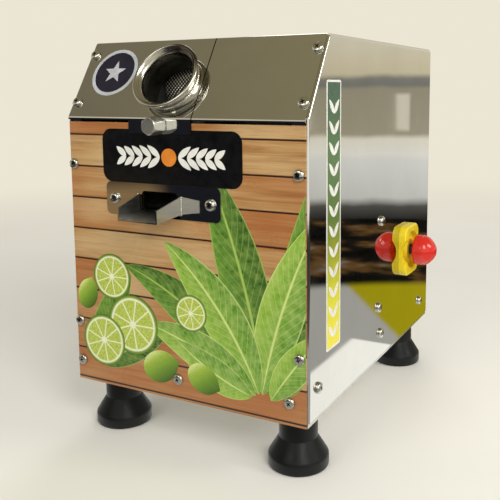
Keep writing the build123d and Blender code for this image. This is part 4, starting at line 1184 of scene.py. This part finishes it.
def wall_look():
    """Bands of a room's wall with pale posts, a bright window, a dark doorway and a tan chest."""
    skin = Skin("room_wall")
    x, y, z = skin.axes(skin.place())
    turn = skin.calc("ARCTAN2", y, x)
    uneven = skin.times(skin.minus(skin.noise(5, 3, 0.6), 0.5), 0.05)
    level = skin.plus(skin.calc("DIVIDE", z, ROOM_H), uneven)
    tone = skin.ramp(level, [
        (0.0, srgb(44, 42, 40)), (0.07, srgb(92, 90, 86)), (0.11, srgb(224, 224, 220)),
        (0.3, srgb(244, 244, 240)), (0.325, srgb(255, 252, 244)), (0.4, srgb(252, 246, 230)),
        (0.425, srgb(180, 172, 150)), (0.64, srgb(172, 164, 143)), (0.66, srgb(138, 138, 132)),
        (0.69, srgb(146, 144, 136)), (0.715, srgb(228, 217, 186)), (1.0, PALE)])
    post = skin.between(skin.calc("FRACT", skin.times(turn, 4.6)), 0.41, 0.54, 0.01)
    for across, high, tint in (
        (post, skin.between(level, 0.44, 0.62, 0.01), srgb(236, 230, 210)),
        (skin.between(turn, -1.25, -0.15, 0.04), skin.between(level, 0.08, 0.95, 0.04),
         shade(srgb(255, 252, 242), 1.25)),
        (skin.between(turn, -2.4, -1.73, 0.07), skin.below(level, 0.85, 0.95), srgb(34, 35, 42)),
        (skin.between(turn, -2.4, -2.15, 0.02), skin.span(z, 0.12, 0.18, 1.0, 0.0, True),
         srgb(158, 130, 92)),
    ):
        tone = skin.mix(skin.times(across, high), tone, tint)
    return skin.shine(tone)


def ground_look():
    """A pale sheet under the machine, an olive cloth behind it and darker, littered ground beyond."""
    skin = Skin("room_ground")
    x, y = skin.axes(skin.place(), "XY")
    reach = skin.hypot(x, y)
    litter = skin.ramp(skin.noise(7, 4, 0.6), [
        (0.38, srgb(14, 16, 14)), (0.5, srgb(30, 27, 24)),
        (0.6, srgb(110, 80, 42)), (0.68, srgb(128, 126, 120))])
    plain = skin.ramp(skin.span(reach, 0.6, 1.3), [
        (0.0, srgb(104, 102, 98)), (0.5, srgb(78, 76, 73)), (1.0, srgb(62, 60, 58))])
    beyond = skin.mix(skin.between(skin.calc("ARCTAN2", y, x), 0.72, 1.45, 0.12), plain, litter)
    past_corner = skin.times(skin.minus(x, CLOTH_CORNER[0]), CLOTH_SLANT)
    cloth_edge = skin.minus(skin.minus(y, CLOTH_CORNER[1]), past_corner)
    cloth = skin.times(skin.span(cloth_edge, -0.01, 0.01), skin.span(x, 0.12, 0.13))
    near = skin.mix(cloth, srgb(188, 187, 182), srgb(182, 170, 24))
    sheet = skin.times(skin.between(x, -0.29, 0.2515, 0.003), skin.between(y, -0.2135, 0.2135, 0.003))
    near = skin.mix(sheet, near, shade(srgb(255, 254, 248), 1.3))
    return skin.shine(skin.mix(skin.span(reach, 0.6, 0.66, smooth=True), near, beyond))


room_ring = circle(ROOM_R, ROOM_STEPS)
wall_points = [(x, y, z) for z in (0.0, ROOM_H) for x, y in room_ring]
ground_points = [(x, y, GROUND_Z) for x, y in [(0, 0)] + room_ring]
for thing in (
    staged("room_wall", wall_points, ring_faces(ROOM_STEPS, ROOM_STEPS, 0), wall_look()),
    staged("room_ground", ground_points, fan_faces(ROOM_STEPS), ground_look()),
):
    for kind in ("camera", "diffuse", "shadow", "transmission", "volume_scatter"):
        setattr(thing, "visible_" + kind, False)

# Camera, at the photo's viewing angle

AZIMUTH = math.radians(-27.35)
PITCH = math.radians(7.05)
ROLL = math.radians(-0.37)
CAMERA_SPOT = Vector((0.4178, -0.8219, 0.3979))
FOCAL_PX = 717.7
IMAGE_PX = 500.0
PRINCIPAL = (280.0, 178.0)
SENSOR_MM = 36.0
ahead = Vector((
    math.sin(AZIMUTH) * math.cos(PITCH), math.cos(AZIMUTH) * math.cos(PITCH), -math.sin(PITCH)
))
level = ahead.cross(Vector((0, 0, 1))).normalized()
upright = level.cross(ahead)
cam_right = level * math.cos(ROLL) + upright * math.sin(ROLL)
cam_up = upright * math.cos(ROLL) - level * math.sin(ROLL)
lens = bpy.data.cameras.new("photo_camera")
lens.sensor_fit = "HORIZONTAL"
lens.sensor_width = SENSOR_MM
lens.lens = SENSOR_MM * FOCAL_PX / IMAGE_PX
lens.shift_x = (IMAGE_PX / 2 - PRINCIPAL[0]) / IMAGE_PX
lens.shift_y = (PRINCIPAL[1] - IMAGE_PX / 2) / IMAGE_PX
camera = put("photo_camera", lens)
turned = Matrix((cam_right, cam_up, -ahead)).transposed().to_4x4()
camera.matrix_world = Matrix.Translation(CAMERA_SPOT) @ turned
bpy.context.scene.camera = camera
bpy.context.scene.view_settings.view_transform = "Standard"
